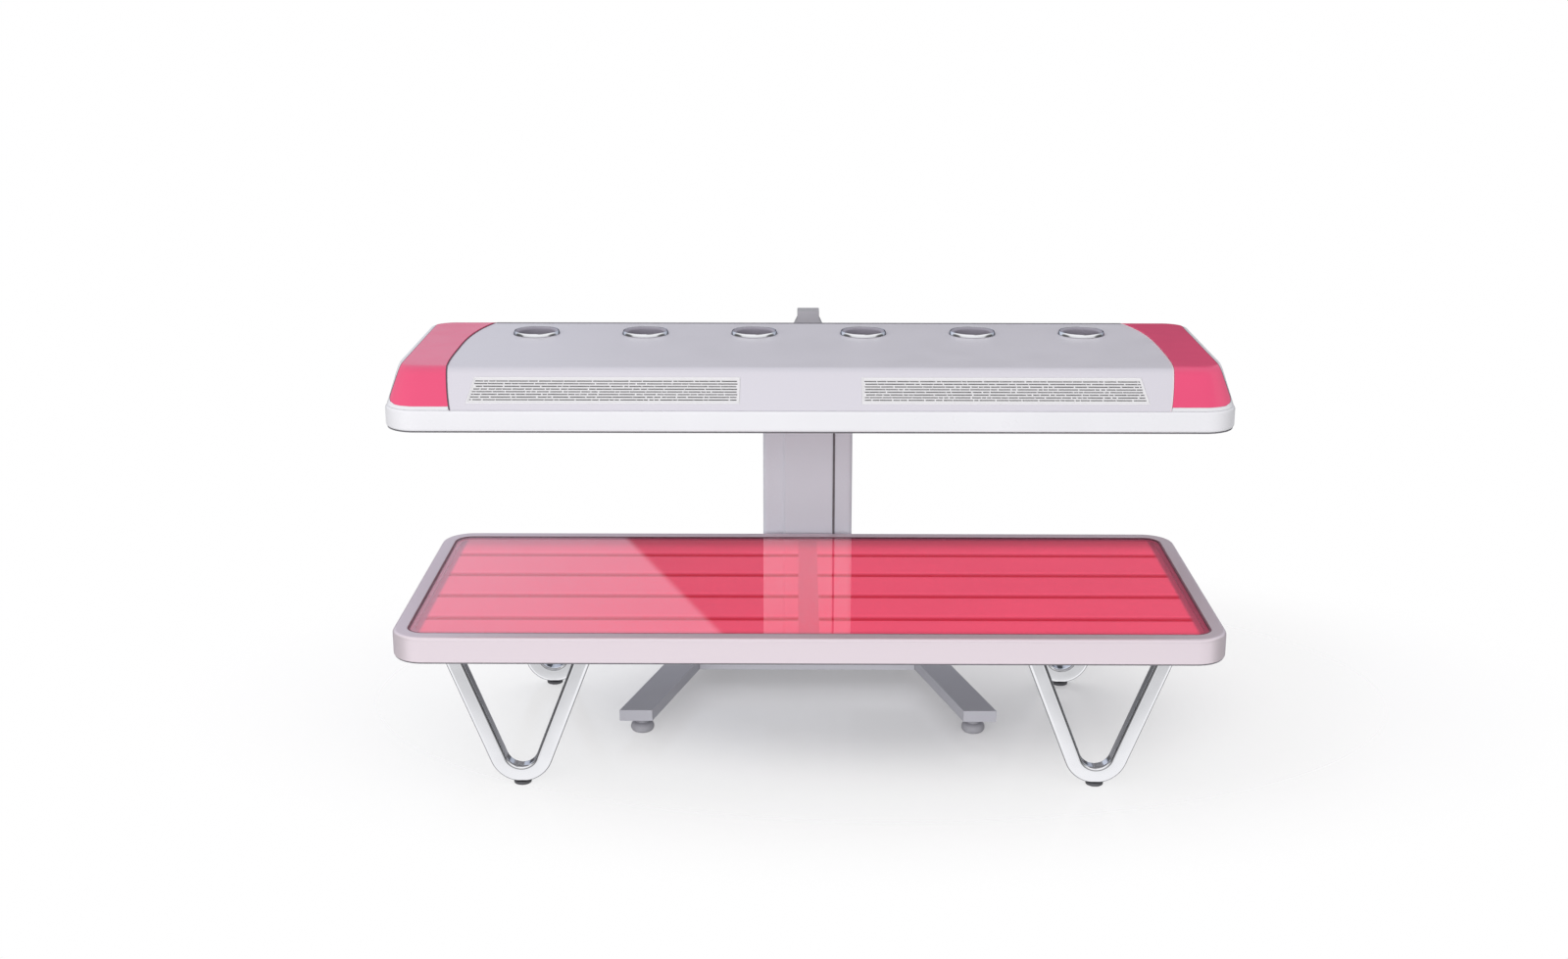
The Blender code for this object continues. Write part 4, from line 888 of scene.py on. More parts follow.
def bench_frame():
    """Silver rim, seal and clear sheet of the bench, and a grey strip of painted shade under its rim."""
    ledge = LEDGE_TOP - LEDGE_THICK
    floor_top = FRAME_BOTTOM + FRAME_WALL
    section = bend(0, FRAME_BOTTOM, FRAME_LOWER_EDGE, 2, EDGE_STEPS)
    section += [(FRAME_FLANGE, FRAME_BOTTOM), (FRAME_FLANGE, floor_top), (FRAME_WALL, floor_top)]
    section += [(FRAME_WALL, ledge), (LEDGE_INSET, ledge), (LEDGE_INSET, LEDGE_TOP), (RIM_WIDTH, LEDGE_TOP)]
    section += bend(RIM_WIDTH, BENCH_TOP, RIM_INNER_EDGE, 0, 3) + bend(0, BENCH_TOP, RIM_EDGE, 1, EDGE_STEPS)
    profile = rim(BENCH_PLAN, section)
    even_normals(piece("bench_rim", profile, "satin_silver", "silver_frame", "bed", "bench_frame"))
    outer = RIM_WIDTH + FIT
    lip = outer + SEAL_LIP
    flange = lip + SEAL_FLANGE
    low = LEDGE_TOP + FIT
    over = GLASS_TOP + SEAL_OVERLAP
    section = [(outer, low), (lip, low), (lip, over), (flange, over), (flange - 0.0008, over + 0.0005)]
    section += [(outer + SMALL_EDGE, over + SMALL_EDGE), (outer, over)]
    piece("bench_seal", rim(BENCH_PLAN, section), "seal_rubber", "dark_rubber", "bed", "bench_glass_seal")
    edge = lip + FIT
    section = oblong((edge, LEDGE_INSET), (low, low + SEAL_PAD))
    # The gasket on the ledge glows with painted lamp light
    piece("bench_gasket", rim(BENCH_PLAN, section), "lit_gasket", "dark_rubber", "bed")
    sheet = slab(BENCH_PLAN, GLASS_BOTTOM, GLASS_TOP, edge)
    sheet = piece("bench_clear_top", sheet, "clear_acrylic", "clear_sheet", "bed", "bench_glass")
    faced(sheet, "seal_rubber", lambda normal: abs(normal.z) < 0.95)
    underline("bench_underline", BENCH_PLAN, FRAME_BOTTOM, "bed")
    rim_screws("bench_pan_screws", BENCH_PLAN, FRAME_BOTTOM, 0.028, 0.200, PAN_SCREW, "zinc_sheet", "bed")


def bench_lamps():
    """Lamp strips with soft grooves, left and right of the joint over the centre rail."""
    half = PANEL_HALF_DEPTH
    profile = [(-half, 0.0)]
    for middle in spaced(GROOVE_COUNT, GROOVE_PITCH):
        for k in range(-GROOVE_STEPS, GROOVE_STEPS + 1):
            drop = GROOVE_DEPTH * (0.5 + 0.5 * math.cos(math.pi * k / GROOVE_STEPS))
            profile.append((GROOVE_MIDDLE + middle + GROOVE_HALF_WIDTH * k / GROOVE_STEPS, drop))
    profile.append((half, 0.0))
    band = [(y, PANEL_BAND_DEPTH) for y, _ in profile]
    stations = ((PANEL_START, profile), (PANEL_STRIP_END - 0.002, profile),
                (PANEL_STRIP_END + 0.001, band), (PANEL_END, band))
    thick = PANEL_TOP - PANEL_BOTTOM
    for side, sign in SIDES:
        loops = []
        for x, upper in stations:
            outline = upper + [(half, thick), (-half, thick)]
            loops.append([Vector((sign * x, y + BENCH_Y, PANEL_TOP - drop)) for y, drop in outline])
        piece("bench_lamps_" + side, loft(loops), "lamp_strips", "lamp_panel", "bed",
              "bench_led_panel_" + side)


def leg_tube():
    """A square tube with round edges, bent into a V, standing over the floor's origin."""
    bottom = FOOT_HEIGHT + FIT
    outer = LEG_BEND_RADIUS + LEG_TUBE / 2
    centre = Vector((0, 0, bottom + outer))
    rise = FRAME_BOTTOM - centre.z
    angle = math.atan2(LEG_HALF_SPREAD, rise) - math.asin(outer / math.hypot(LEG_HALF_SPREAD, rise))
    top = LEG_PLATE_TOP - LEG_PLATE_THICK + 0.001
    section = rounded_rectangle(LEG_TUBE, LEG_TUBE, LEG_EDGE, 7)
    lean = Vector((math.sin(angle), 0, math.cos(angle)))
    loops = []
    for i in range(BEND_STEPS + 1):
        turn = -angle - (math.pi - 2 * angle) * i / BEND_STEPS
        out = Vector((math.cos(turn), 0, math.sin(turn)))
        loops.append([centre + out * (LEG_BEND_RADIUS + u) + Vector((0, v, 0)) for u, v in section])
    first = [p + lean * (top - p.z) / lean.z for p in loops[0]]
    lean.x = -lean.x
    last = [p + lean * (top - p.z) / lean.z for p in loops[-1]]
    return [first] + loops + [last]


def bench_legs():
    """Bent chrome legs, their plates and bolts, and the glide feet."""
    tube = leg_tube()
    low = LEG_PLATE_TOP - LEG_PLATE_THICK
    foot = [(FOOT_RADIUS - FOOT_LOWER_EDGE - 0.001, 0.0)] + bend(FOOT_RADIUS, 0.0, FOOT_LOWER_EDGE, 3, 5)
    foot += bend(FOOT_RADIUS, FOOT_HEIGHT, FOOT_UPPER_EDGE, 0, 4)
    foot += [(FOOT_STUD_RADIUS, FOOT_HEIGHT), (FOOT_STUD_RADIUS, FOOT_HEIGHT + FOOT_STUD_HEIGHT)]
    for (end, forward), (side, sign) in grid(ENDS, SIDES):
        label = end + "_" + side
        x, y = sign * LEG_X, forward * LEG_Y + BENCH_Y
        leg = loft([[p + Vector((x, y, 0)) for p in loop] for loop in tube])
        leg = piece("bent_leg_" + label, leg, "chrome_tube", "chrome_tube", "bed", "bench_leg_" + label)
        even_normals(leg)
        plan = (LEG_PLATE_LENGTH, LEG_PLATE_DEPTH, LEG_PLATE_CORNER, (x, y))
        plate = slab(plan, low, LEG_PLATE_TOP, steps=6)
        piece("leg_plate_" + label, plate, "chrome_tube", "chrome_tube", "bed")
        places = grid((x - LEG_BOLT_X, x + LEG_BOLT_X), (y - LEG_BOLT_Y, y + LEG_BOLT_Y), (low,))
        fasteners("leg_bolts_" + label, hex_bolt, PLATE_BOLT, "chrome_tube", "bed", (DOWN, places))
        piece("glide_foot_" + label, turned(foot, (x, y)), "dark_rubber", "dark_rubber", "bed",
              "bench_foot_" + label)


def column():
    """Raised strip of the column, a grey strip of painted shadow by its right edge, and the fasteners of
    column, base and bracket.
    """
    low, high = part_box("column_front_strip")
    foot = high.y - STRIP_FOOT
    heights = (low.z, high.z)
    outline = [(low.x, high.y), (low.x, foot), (low.x + STRIP_BEVEL, low.y), (high.x - STRIP_EDGE, low.y)]
    outline += [(high.x, low.y + STRIP_EDGE), (high.x, high.y)]
    strip = upright(outline, heights)
    strip = piece("column_strip", strip, "column_paint", "grey_paint", "bed", "column_front_strip")
    round_edges(strip, 0.0006, 25)
    # A grey strip by the right edge only: the shadow that the raised strip casts, painted
    near, far = high.x + FIT, high.x + STRIP_SHADOW_WIDTH
    outline = [(near, foot), (near, low.y + 0.0020), (far, foot - 0.0012), (far, foot)]
    seal = piece("column_strip_painted_shadow", upright(outline, heights), "gasket_grey", "dark_rubber", "bed")
    round_edges(seal, 0.0004)
    pair = (-COLUMN_SCREW_X, COLUMN_SCREW_X)
    low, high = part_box("column_profile")
    heights = [mix(low.z, high.z, share) for share in COLUMN_SCREW_HEIGHTS]
    fasteners("column_back_screws", screw_head, COLUMN_SCREW, "grey_paint", "bed",
              (BACKWARD, grid(pair, (high.y,), heights)))
    low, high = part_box("column_collar")
    middle = (low.z + high.z) / 2
    fasteners("collar_screws", screw_head, COLLAR_SCREW, "dark_plastic", "bed",
              (FORWARD, grid(pair, (low.y,), (middle,))), (BACKWARD, grid(pair, (high.y,), (middle,))))
    low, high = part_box("mains_inlet")
    pair = (low.x + INLET_SCREW_INSET, high.x - INLET_SCREW_INSET)
    fasteners("inlet_screws", screw_head, INLET_SCREW, "dark_plastic", "bed",
              (BACKWARD, grid(pair, (high.y,), ((low.z + high.z) / 2,))))
    fasteners("beam_bolts", hex_bolt, BEAM_BOLT, "grey_paint", "bed",
              (UP, grid((-BEAM_BOLT_X, BEAM_BOLT_X), BEAM_BOLT_Y, (BASE_TOP,))))
    low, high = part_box("canopy_bracket")
    heights = [low.z + z for z in BRACKET_BOLT_Z]
    fasteners("bracket_bolts", hex_bolt, PLATE_BOLT, "bracket_paint", "lift",
              (BACKWARD, grid((-BRACKET_BOLT_X, BRACKET_BOLT_X), (high.y,), heights)))


def levellers():
    """Bun-shaped levelling feet on their studs."""
    profile = []
    for i in range(19):
        turn = mix(*LEVELLER_TURN, i / 18)
        height = LEVELLER_MIDDLE * (1 - math.sin(turn) / math.sin(LEVELLER_TURN[0]))
        profile.append((LEVELLER_RADIUS * math.cos(turn) ** LEVELLER_BULGE, height))
    neck = LEVELLER_NECK_RADIUS
    shoulder = BASE_BOTTOM - FIT
    profile += [(neck, BASE_BOTTOM - 0.0012), (neck - 0.001, shoulder)]
    profile += [(LEVELLER_STUD_RADIUS, shoulder), (LEVELLER_STUD_RADIUS, LEVELLER_STUD_TOP)]
    for (end, _), (side, _) in grid(ENDS, SIDES):
        label = end + "_" + side
        low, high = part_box("levelling_foot_" + label)
        centre = ((low.x + high.x) / 2, (low.y + high.y) / 2)
        piece("leveller_" + label, turned(profile, centre), "grey_foot", "grey_foot", "leveller_" + label,
              "levelling_foot_" + label)


def tray():
    """White rim of the canopy, slotted at the back for the bracket's arms."""
    z = CANOPY_Z
    top = z + TRAY_HEIGHT
    floor_top = z + TRAY_FLANGE_THICK
    shelf = top - TRAY_FLANGE_THICK
    section = bend(0, z, TRAY_EDGE, 2, EDGE_STEPS)
    section += [(TRAY_BOTTOM_FLANGE - PLATE_EDGE, z), (TRAY_BOTTOM_FLANGE, z + PLATE_EDGE)]
    section += [(TRAY_BOTTOM_FLANGE, floor_top), (TRAY_WALL, floor_top), (TRAY_WALL, shelf)]
    section += [(TRAY_TOP_FLANGE, shelf), (TRAY_TOP_FLANGE, top)]
    section += bend(0, top, TRAY_EDGE, 1, EDGE_STEPS)
    slots = bmesh.new()
    wall = CANOPY_Y + CANOPY_DEPTH / 2
    low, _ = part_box("canopy_bracket")
    for x in (-ARM_X, ARM_X):
        outline = oblong((x - ARM_SLOT_HALF, x + ARM_SLOT_HALF), (wall - 0.008, wall + 0.004))
        upright(outline, (low.z - FIT, low.z + ARM_SLOT_HEIGHT), slots)
    shell = carved(rim(CANOPY_PLAN, section), slots)
    piece("canopy_rim", shell, "white_gloss", "white_gloss", "lift", "canopy_tray")
    rim_screws("canopy_rim_screws", CANOPY_PLAN, z, 0.034, 0.190, TRAY_SCREW, "white_gloss", "lift")
    underline("canopy_underline", CANOPY_PLAN, z, "lift")


def canopy_point(x, y, z):
    """A point by its depth and height in the canopy."""
    return Vector((x, y + CANOPY_Y, z + CANOPY_Z))


def seam(y):
    """Distance of the seam between cover and end cap from the middle, at a depth."""
    away = abs(y + CANOPY_DEPTH / 2 - SEAM_FROM_FRONT)
    return SEAM_X - away ** 3 / SEAM_RADIUS ** 2


def cover_path(wall):
    """The cover's section from its front foot to its rear foot, set in by a wall."""
    foot = TRAY_HEIGHT + FIT
    slope = wall / math.sin(SLOPE_ANGLE)
    crease_y = -CANOPY_DEPTH / 2 + SLOPE_RUN
    top = CANOPY_HEIGHT - wall
    start = (-CANOPY_DEPTH / 2 + COVER_SETBACK + slope, foot)
    crease = (crease_y - wall / math.tan(SLOPE_ANGLE) + slope, top)
    path = eased([start, crease, (0, top)], CREASE_RADIUS - wall, CREASE_STEPS)
    half = divided(path[:2], 6)[:-1] + path[1:-2] + divided(path[-2:], SEAM_STEPS // 2)
    return half + [Vector((-p.x, p.y)) for p in reversed(half[:-1])]


def grille_point(span, x, y, height):
    """A point over the front slope, by its shares of a grille's length and height. The outer end slants."""
    inner, top, bottom = span
    across = inner + (bottom + (top - bottom) * y - inner) * x
    down = GRILLE_FROM_CREASE + GRILLE_HEIGHT * (1 - y)
    sine, cosine = math.sin(SLOPE_ANGLE), math.cos(SLOPE_ANGLE)
    depth = -CANOPY_DEPTH / 2 + SLOPE_RUN - down * cosine - height * sine
    return canopy_point(across, depth, CANOPY_HEIGHT - down * sine + height * cosine)


def cover():
    """Silver cover between the two curved seams, cut for the fans and the grilles, with a grey strip of
    painted shade along its rear edge.
    """
    loops = []
    for skins in zip(cover_path(0), cover_path(COVER_WALL)):
        outer, inner = [[canopy_point(sign * seam(p.x), *p) for sign in (-1, 1)] for p in skins]
        loops.append(outer + inner[::-1])
    shell = loft(loops)
    holes = bmesh.new()
    low = CANOPY_Z + CANOPY_HEIGHT - 2 * COVER_WALL
    profile = [(SLEEVE_RADIUS + FIT, low), (SLEEVE_RADIUS + FIT, low + 3 * COVER_WALL)]
    for x in FAN_X:
        turned(profile, (x, FAN_Y + CANOPY_Y), bm=holes)
    windows = bmesh.new()
    slack = FIT / GRILLE_HEIGHT
    outline = oblong((-slack / 8, 1 + slack / 8), (-slack, 1 + slack))
    for span in GRILLE_SPANS.values():
        loops = []
        for height in (-2 * COVER_WALL, 2 * COVER_WALL):
            loops.append([grille_point(span, x, y, height) for x, y in outline])
        loft(loops, bm=windows)
    piece("canopy_silver_cover", carved(shell, holes, windows), "silver_lacquer", "silver_cover", "lift",
          "canopy_cover")
    # A grey strip along the rear crease paints the shade of the cover's rear edge
    ridge = slice(-1 - CREASE_STEPS - 4, -1 - CREASE_STEPS)
    outline = cover_path(-PAINTED_STRIP_LIFT)[ridge] + cover_path(-REAR_SHADE_PROUD)[ridge][::-1]
    reach = seam(outline[0].x) - 2 * SEAM_WIDTH
    loops = [[canopy_point(x, *p) for p in outline] for x in (-reach, reach)]
    round_edges(piece("rear_edge_painted_shade", loft(loops), "gasket_grey", "dark_rubber", "lift"), 0.0005)


def dashes(rng, start, end):
    """Slots of uneven length along one row of a grille."""
    spans = []
    x = start
    while x < end - LEAST_DASH:
        stop = min(x + rng.choice(DASH_LENGTHS), end)
        spans.append((x, stop))
        x = stop + rng.choice(DASH_GAPS)
    return spans


def grille_plate(rng, length):
    """A flat plate with rows of slots, on its own plane with its face at height zero."""
    pitch = (GRILLE_HEIGHT - 2 * GRILLE_BORDER - SLOT_HEIGHT) / (GRILLE_ROWS - 1)
    feet = [GRILLE_BORDER + i * pitch for i in range(GRILLE_ROWS)]
    cuts = [dashes(rng, GRILLE_SIDE + rng.uniform(0, DASH_SHIFT), length - GRILLE_SIDE) for _ in feet]
    bm = bmesh.new()
    points = {}

    def vert(x, y, z):
        key = (round(x, 7), round(y, 7), z)
        if key not in points:
            points[key] = bm.verts.new((x, y, z))
        return points[key]

    def sheet(outline):
        for z in (0.0, -COVER_WALL):
            bm.faces.new([vert(x, y, z) for x, y in outline])

    def wall(a, b):
        bm.faces.new((vert(*a, 0.0), vert(*b, 0.0), vert(*b, -COVER_WALL), vert(*a, -COVER_WALL)))

    lower = [0.0, length]
    low = 0.0
    for bottom, cut in zip(feet, cuts):
        top = bottom + SLOT_HEIGHT
        marks = sorted({x for span in cut for x in span} | {0.0, length})
        sheet([(x, low) for x in lower] + [(x, bottom) for x in reversed(marks)])
        for x in (0.0, length):
            wall((x, low), (x, bottom))
            wall((x, bottom), (x, top))
        for span in zip(marks, marks[1:]):
            corners = oblong(span, (bottom, top))
            if span in cut:
                for a, b in zip(corners, corners[1:] + corners[:1]):
                    wall(a, b)
            else:
                sheet(corners)
        lower = marks
        low = top
    sheet([(x, low) for x in lower] + [(length, GRILLE_HEIGHT), (0.0, GRILLE_HEIGHT)])
    for x in (0.0, length):
        wall((x, low), (x, GRILLE_HEIGHT))
    for y in (0.0, GRILLE_HEIGHT):
        wall((0.0, y), (length, y))
    return bm


def grilles():
    """Slotted plates in the front slope, their raised borders and the foam behind them."""
    rng = random.Random(7)
    for side, span in GRILLE_SPANS.items():
        length = abs(span[1] - span[0])

        def put(bm):
            """Lay a shape made flat into the slope."""
            for vert in bm.verts:
                x, y, z = vert.co
                vert.co = grille_point(span, x / length, y / GRILLE_HEIGHT, z)
            return bm

        plate = put(grille_plate(rng, length))
        piece("grille_plate_" + side, plate, "grille_white", "silver_cover", "lift", "vent_grille_" + side)
        plan = (length, GRILLE_HEIGHT, GRILLE_CORNER, (length / 2, GRILLE_HEIGHT / 2))
        border = put(rim(plan, GRILLE_BEAD, 8))
        piece("grille_border_" + side, border, "grille_white", "silver_cover", "lift")
        x, y = FOAM_INSET
        foam = put(upright(oblong((x, length - x), (y, GRILLE_HEIGHT - y)), FOAM_DEPTH))
        round_edges(piece("grille_foam_" + side, foam, "filter_foam", "dark_plastic", "lift"), 0.001)


def cap_outline(gap, end_inset, front_inset, corner, turn):
    """Plan of an end cap at one height: round its end, then back along the seam.

    The corners are cut off past a turn.
    """
    half_length = CANOPY_LENGTH / 2 - CAP_SETBACK - end_inset
    half_depth = CANOPY_DEPTH / 2 - CAP_SETBACK - front_inset
    front = (half_length - corner, corner - half_depth)
    rear = (half_length - corner, half_depth - corner)
    points = arc(front, corner, -QUARTER, turn - QUARTER, CORNER_STEPS)
    points += arc(rear, corner, QUARTER - turn, QUARTER, CORNER_STEPS)
    for i in range(SEAM_STEPS + 1):
        y = half_depth * (1 - 2 * i / SEAM_STEPS)
        points.append((seam(y) + gap, y))
    return points


def end_cap_loops(sign, wall, gap, border=0.0, turn=QUARTER, round_foot=0.0):
    """Loops of an end cap from its foot or a border up to its flat top, set in by a wall."""
    foot = TRAY_HEIGHT + FIT
    top = CANOPY_HEIGHT + CAP_PROUD - wall
    run = SLOPE_RUN - CAP_SETBACK
    slope = wall / math.sin(SLOPE_ANGLE)
    shift = slope - wall / math.tan(SLOPE_ANGLE)
    path = [(slope, foot), (run + shift, top), (CANOPY_DEPTH / 2, top)]
    path = eased(path, CAP_CREASE_RADIUS - wall, 10)
    start = path[0] + (path[1] - path[0]).normalized() * border
    path = divided((start, path[1]), 24)[:-1] + path[1:-1]
    loops = []
    for inset, z in path:
        short = max(0.0, round_foot - (Vector((inset, z)) - start).length)
        cut = round_foot - math.sqrt(round_foot ** 2 - short ** 2)
        rise = (z - foot) / (top - foot)
        if round_foot:
            cut += CAP_PANEL_DRIFT * rise
        corner = mix(TRAY_CORNER, CAP_TOP_CORNER, rise) - wall
        stop = math.asin(math.sin(turn) - cut / corner)
        outline = cap_outline(gap, wall + CAP_END_DRAFT * rise, inset, corner, stop)
        loops.append([canopy_point(sign * x, y, z) for x, y in outline])
    return loops


def end_caps():
    """White end shells beyond the seams, each with a pink panel let into its top and slopes."""
    for side, sign in SIDES:

        def skin(outer, inner):
            """A closed skin between two depths, each given with its edge."""
            return loft(end_cap_loops(sign, *inner)[::-1] + end_cap_loops(sign, *outer))

        shell = skin((0, SEAM_GAP), (CAP_WALL, SEAM_GAP + CAP_WALL))
        round_edges(piece("end_shell_" + side, shell, "white_gloss", "white_gloss", "lift"), 0.0012, 50)
        edge = (SEAM_GAP - FIT, CAP_BORDER, CAP_PANEL_TURN, CAP_PANEL_CORNER)
        panel = skin((-CAP_PANEL_PROUD, *edge), (CAP_PANEL_SUNK, *edge))
        panel = piece("pink_end_" + side, panel, "pink_gloss", "pink_gloss", "lift", "canopy_end_" + side)
        round_edges(panel, 0.0014, 50)
        # A dark gasket round the pink panel: its own dark rubber, which also paints the shade in the groove
        # round the panel
        edge = (SEAM_GAP, CAP_BORDER, CAP_PANEL_TURN + CAP_GASKET, CAP_PANEL_CORNER)
        gasket = skin((-CAP_PANEL_PROUD / 3, *edge), (CAP_PANEL_SUNK, *edge))
        piece("end_gasket_" + side, gasket, "seam_dark", "dark_rubber", "lift")
        # Seam strips: painted shade on the left, a painted highlight on the right
        loops = []
        for low, high in zip(cover_path(-PAINTED_STRIP_LIFT), cover_path(-SEAM_PROUD)):
            corners = ((low, SEAM_WIDTH), (low, 0), (high, 0), (high, SEAM_WIDTH))
            loops.append([canopy_point(sign * (seam(p.x) - inset), *p) for p, inset in corners])
        piece("seam_strip_" + side, loft(loops), SEAM_PAINTED_LIGHT[side], "silver_cover", "lift")


def fan_blades(bm, centre, middle):
    """Curved, twisted blades round a hub."""
    for i in range(BLADES):
        loops = []
        for k in range(BLADE_STEPS + 1):
            share = k / BLADE_STEPS
            radius = mix(BLADE_ROOT, ROTOR_RADIUS, share)
            half = mix(*BLADE_HALF_CHORD, share)
            pitch = mix(*BLADE_PITCH, share)
            base = 2 * math.pi * i / BLADES + BLADE_SWEEP * share * share
            skins = ([], [])
            for j in range(7):
                u = (j / 6 * 2 - 1) * half
                bow = 1 - (u / half) ** 2
                thick = BLADE_THICK * math.sqrt(max(0.02, bow))
                for row, v in zip(skins, (BLADE_CAMBER * bow + thick, BLADE_CAMBER * bow - thick)):
                    angle = base + (u * math.cos(pitch) - v * math.sin(pitch)) / radius
                    z = u * math.sin(pitch) + v * math.cos(pitch)
                    row.append(Vector((centre[0] + radius * math.cos(angle),
                                       centre[1] + radius * math.sin(angle), middle + z)))
            loops.append(skins[0] + skins[1][::-1])
        loft(loops, bm=bm)


def fans():
    """Bright rings with their grey sleeves, and the rotors below."""
    base = CANOPY_Z + CANOPY_HEIGHT
    seat = base + FIT
    top = base + RING_HEIGHT
    lip = RING_LIP_RADIUS
    crown = lip + RING_LIP_WIDTH
    ring = [(lip, seat), (RING_RADIUS - SMALL_EDGE, seat), (RING_RADIUS, seat + RING_FOOT)]
    ring += [(RING_RADIUS - RING_WAIST[0], seat + RING_WAIST[1])]
    ring += [(crown, top - 0.0005), (crown - SMALL_EDGE, top)]
    ring += bend(lip, top, RING_LIP_EDGE, 1, 5)
    low = base - SLEEVE_DEPTH
    mouth = lip - FIT
    step = top - SLEEVE_DROP
    throat = seat + SMALL_EDGE
    sleeve = []
    for i in range(9):
        turn = QUARTER * (1 - i / 8)
        sleeve.append((mix(mouth, SLEEVE_BORE, math.cos(turn)), mix(throat, step, math.sin(turn))))
    sleeve += [(SLEEVE_BORE, low + SMALL_EDGE), (SLEEVE_BORE + SMALL_EDGE, low), (SLEEVE_SKIN, low)]
    sleeve += [(SLEEVE_SKIN, throat - 0.0002), (mouth - SMALL_EDGE, step - 0.0012)]
    foot = CANOPY_Z + DECK_TOP + FIT
    face = foot + HUB_HEIGHT
    hub = [(HUB_RADIUS - SMALL_EDGE, foot), (HUB_RADIUS, foot + SMALL_EDGE)]
    hub += bend(HUB_RADIUS, face, HUB_EDGE, 0, 5)
    hub += [(radius, face + rise) for radius, rise in HUB_FACE]
    for number, x in enumerate(FAN_X, start=1):
        tag = "_%d" % number
        centre = (x, FAN_Y + CANOPY_Y)
        bezel = turned(ring, centre, True, RING_STEPS)
        piece("fan_bezel" + tag, bezel, "chrome_ring", "chrome_ring", "lift", "fan_ring" + tag)
        piece("fan_sleeve" + tag, turned(sleeve, centre, True), "sleeve_grey", "chrome_ring", "lift")
        rotor = turned(hub, centre, steps=HUB_STEPS)
        fan_blades(rotor, centre, foot + HUB_HEIGHT / 2)
        piece("fan_wheel" + tag, rotor, "fan_grey", "dark_plastic", "fan" + tag, "fan_rotor" + tag)


def cad_pieces():
    """Pieces that follow the CAD's own shapes. The canopy's lamps are lit on their lower faces only."""
    for surface, slot, body, width, *nodes in DRESSED:
        for node in nodes:
            obj = dressed(node, surface, slot, body, width)
            if surface == "canopy_lamps":
                faced(obj, "zinc_sheet", lambda normal: normal.z > -0.5)
    for surface, *nodes in PLAIN:
        for node in nodes:
            for slot in NODES[node].material_slots:
                slot.material = SURFACES[surface]


def world():
    """White studio, a little brighter on the left.

    Metal and glass see its dark horizon, its dark sides and a dark panel at the back.
    """
    sky = bpy.data.worlds.new("studio")
    bpy.context.scene.world = sky
    sky.use_nodes = True
    graph = Graph(sky.node_tree, "Generated")
    across, away, height = graph.axes()
    front = graph.blend(graph.band(height, -0.40, -0.365, -0.33, -0.27), 1.0, 0.66)
    rear = graph.smooth(height, -0.32, -0.22, 0.35, 0.85)
    below = graph.blend(graph.smooth(away, -0.2, 0.2), front, rear)
    back = graph.smooth(across, -0.19, -0.04, 0.85, 0.64)
    behind = graph.product(graph.smooth(away, 0.30, 0.60), graph.smooth(height, 0.0, 0.1))
    above = graph.blend(behind, graph.smooth(height, 0.2, 0.7, 0.5), back)
    overhead = graph.product(graph.smooth(height, 0.80, 0.92), graph.smooth(across, 0.0, 0.2))
    above = graph.product(above, graph.blend(overhead, 1.0, OVERHEAD_LEVEL))
    room = graph.blend(graph.smooth(height, -0.10, 0.05), below, above)
    horizon = graph.blend(graph.band(height, -0.26, -0.14, 0.04, 0.18), 1.0, HORIZON_LEVEL)
    sides = graph.band(across, -0.93, -0.78, 0.78, 0.93, SIDE_LEVEL, SIDE_LEVEL)
    slant = graph.node("ShaderNodeVectorMath", {0: graph.place, 1: PANEL_SLANT}, operation="DOT_PRODUCT")
    panel = graph.product(graph.smooth(slant.outputs["Value"], -0.002, 0.002),
                          graph.band(across, -0.12, -0.10, 0.24, 0.30), behind)
    studio = graph.product(room, sides, horizon, graph.blend(panel, 1.0, PANEL_LEVEL))
    rays = graph.node("ShaderNodeLightPath").outputs
    glossy = rays["Is Glossy Ray"]
    white = graph.math("MAXIMUM", rays["Is Camera Ray"], rays["Is Transmission Ray"])
    even = graph.mapped(across, -1.0, 1.0, (1 + AMBIENT_TILT) * AMBIENT, (1 - AMBIENT_TILT) * AMBIENT)
    even = graph.product(even, graph.mapped(height, -1.0, 1.0, 0.75, 1.25),
                         graph.band(across, -0.95, -0.35, 0.35, 0.95, 0.6, 0.7))
    even = graph.blend(white, even, 1.0)
    background = graph.tree.nodes["Background"]
    tint = graph.between(behind, (0.97, 0.975, 1.0), (0.86, 0.93, 1.08))
    graph.tree.links.new(graph.between(glossy, (1.0, 0.998, 1.0), tint), background.inputs["Color"])
    graph.tree.links.new(graph.blend(glossy, even, studio), background.inputs["Strength"])


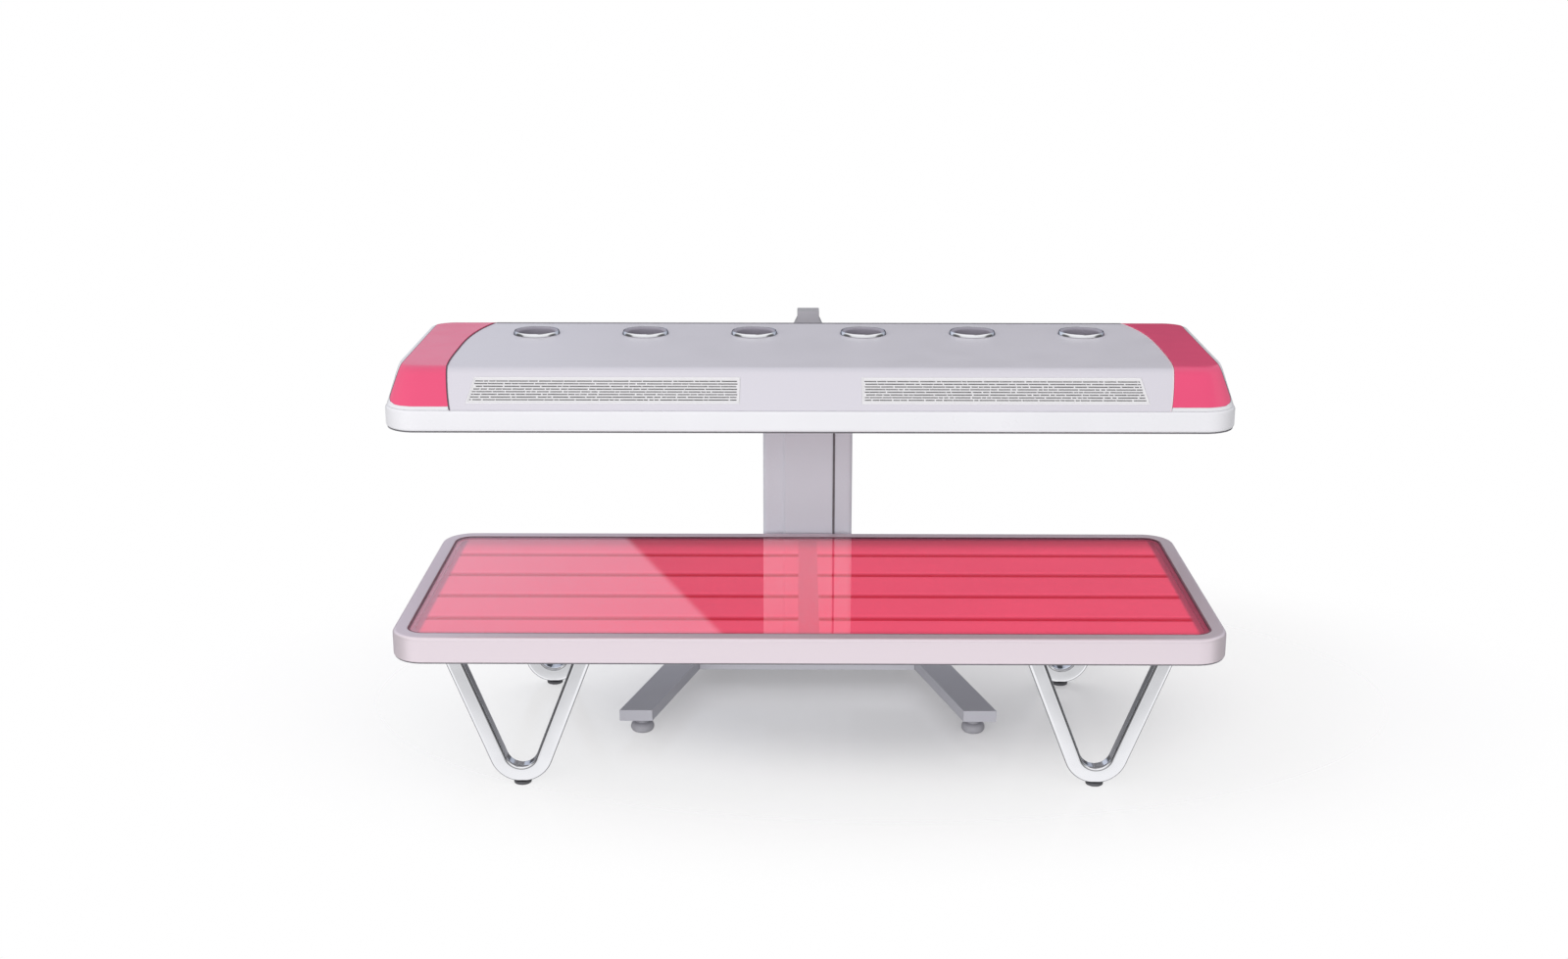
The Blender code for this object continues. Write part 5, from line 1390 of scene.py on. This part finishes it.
def floor():
    """Pale floor that fades into the white backdrop round the bed."""
    bm = bmesh.new()
    bmesh.ops.create_circle(bm, cap_ends=True, segments=96, radius=FLOOR_RADIUS)
    mesh = mesh_of("studio_floor", bm)
    obj = linked("studio_floor", mesh)
    obj.visible_glossy = False
    finish = Finish("studio_floor", Roughness=0.14, Specular_IOR_Level=0.25, Emission_Color=(1.0, 0.995, 1.0))
    finish.uneven((0.82, 0.815, 0.825), 0.004, 2.0)
    rays = finish.node("ShaderNodeLightPath").outputs
    seen = rays["Is Camera Ray"]
    for kind in ("Is Glossy Ray", "Is Transmission Ray"):
        seen = finish.math("MAXIMUM", seen, rays[kind])
    finish.feed(Emission_Strength=finish.math("MULTIPLY", seen, FLOOR_GLOW))
    oval = {"Vector": finish.place, "Location": (-0.120, -0.20, 0), "Scale": (0.60, 1.0, 1.0)}
    oval = finish.node("ShaderNodeMapping", oval).outputs[0]
    length = finish.node("ShaderNodeVectorMath", {0: oval}, operation="LENGTH").outputs["Value"]
    near = finish.smooth(length, 0.28, 0.70, 0.0, 0.60)
    fade = finish.math("ADD", near, finish.smooth(length, 0.68, 1.22, 0.0, 0.40))
    blank = finish.node("ShaderNodeBsdfTransparent").outputs[0]
    both = finish.node("ShaderNodeMixShader", {0: fade, 1: finish.shader.outputs[0], 2: blank})
    finish.tree.links.new(both.outputs[0], finish.tree.nodes["Material Output"].inputs["Surface"])
    mesh.materials.append(finish.material)


def lights():
    """One large soft lamp, far off to the left front."""
    data = bpy.data.lights.new("key_lamp", "AREA")
    data.shape = "RECTANGLE"
    data.size = KEY_WIDTH
    data.size_y = KEY_HEIGHT
    data.energy = KEY_LEVEL * math.pi ** 2 * KEY_DISTANCE ** 2
    obj = linked("key_lamp", data)
    near = math.cos(KEY_RISE)
    offset = Vector((-math.sin(KEY_TURN) * near, -math.cos(KEY_TURN) * near, math.sin(KEY_RISE)))
    obj.location = Vector((0, 0, BENCH_TOP)) + offset * KEY_DISTANCE
    obj.rotation_euler = offset.to_track_quat("Z", "Y").to_euler()
    obj.visible_glossy = False


def camera():
    """Camera at the photograph's viewing angle."""
    data = bpy.data.cameras.new("view_camera")
    data.lens = CAMERA_LENS
    data.sensor_width = 36.0
    data.sensor_fit = "HORIZONTAL"
    data.clip_end = 60.0
    obj = linked("view_camera", data)
    obj.location = CAMERA_PLACE
    obj.rotation_euler = (CAMERA_TILT, 0, CAMERA_TURN)
    bpy.context.scene.camera = obj


for build in (bench_frame, bench_lamps, bench_legs, column, levellers, tray, cover, grilles, end_caps, fans,
              cad_pieces, world, floor, lights, camera):
    build()

bpy.context.scene.view_settings.view_transform = "Standard"
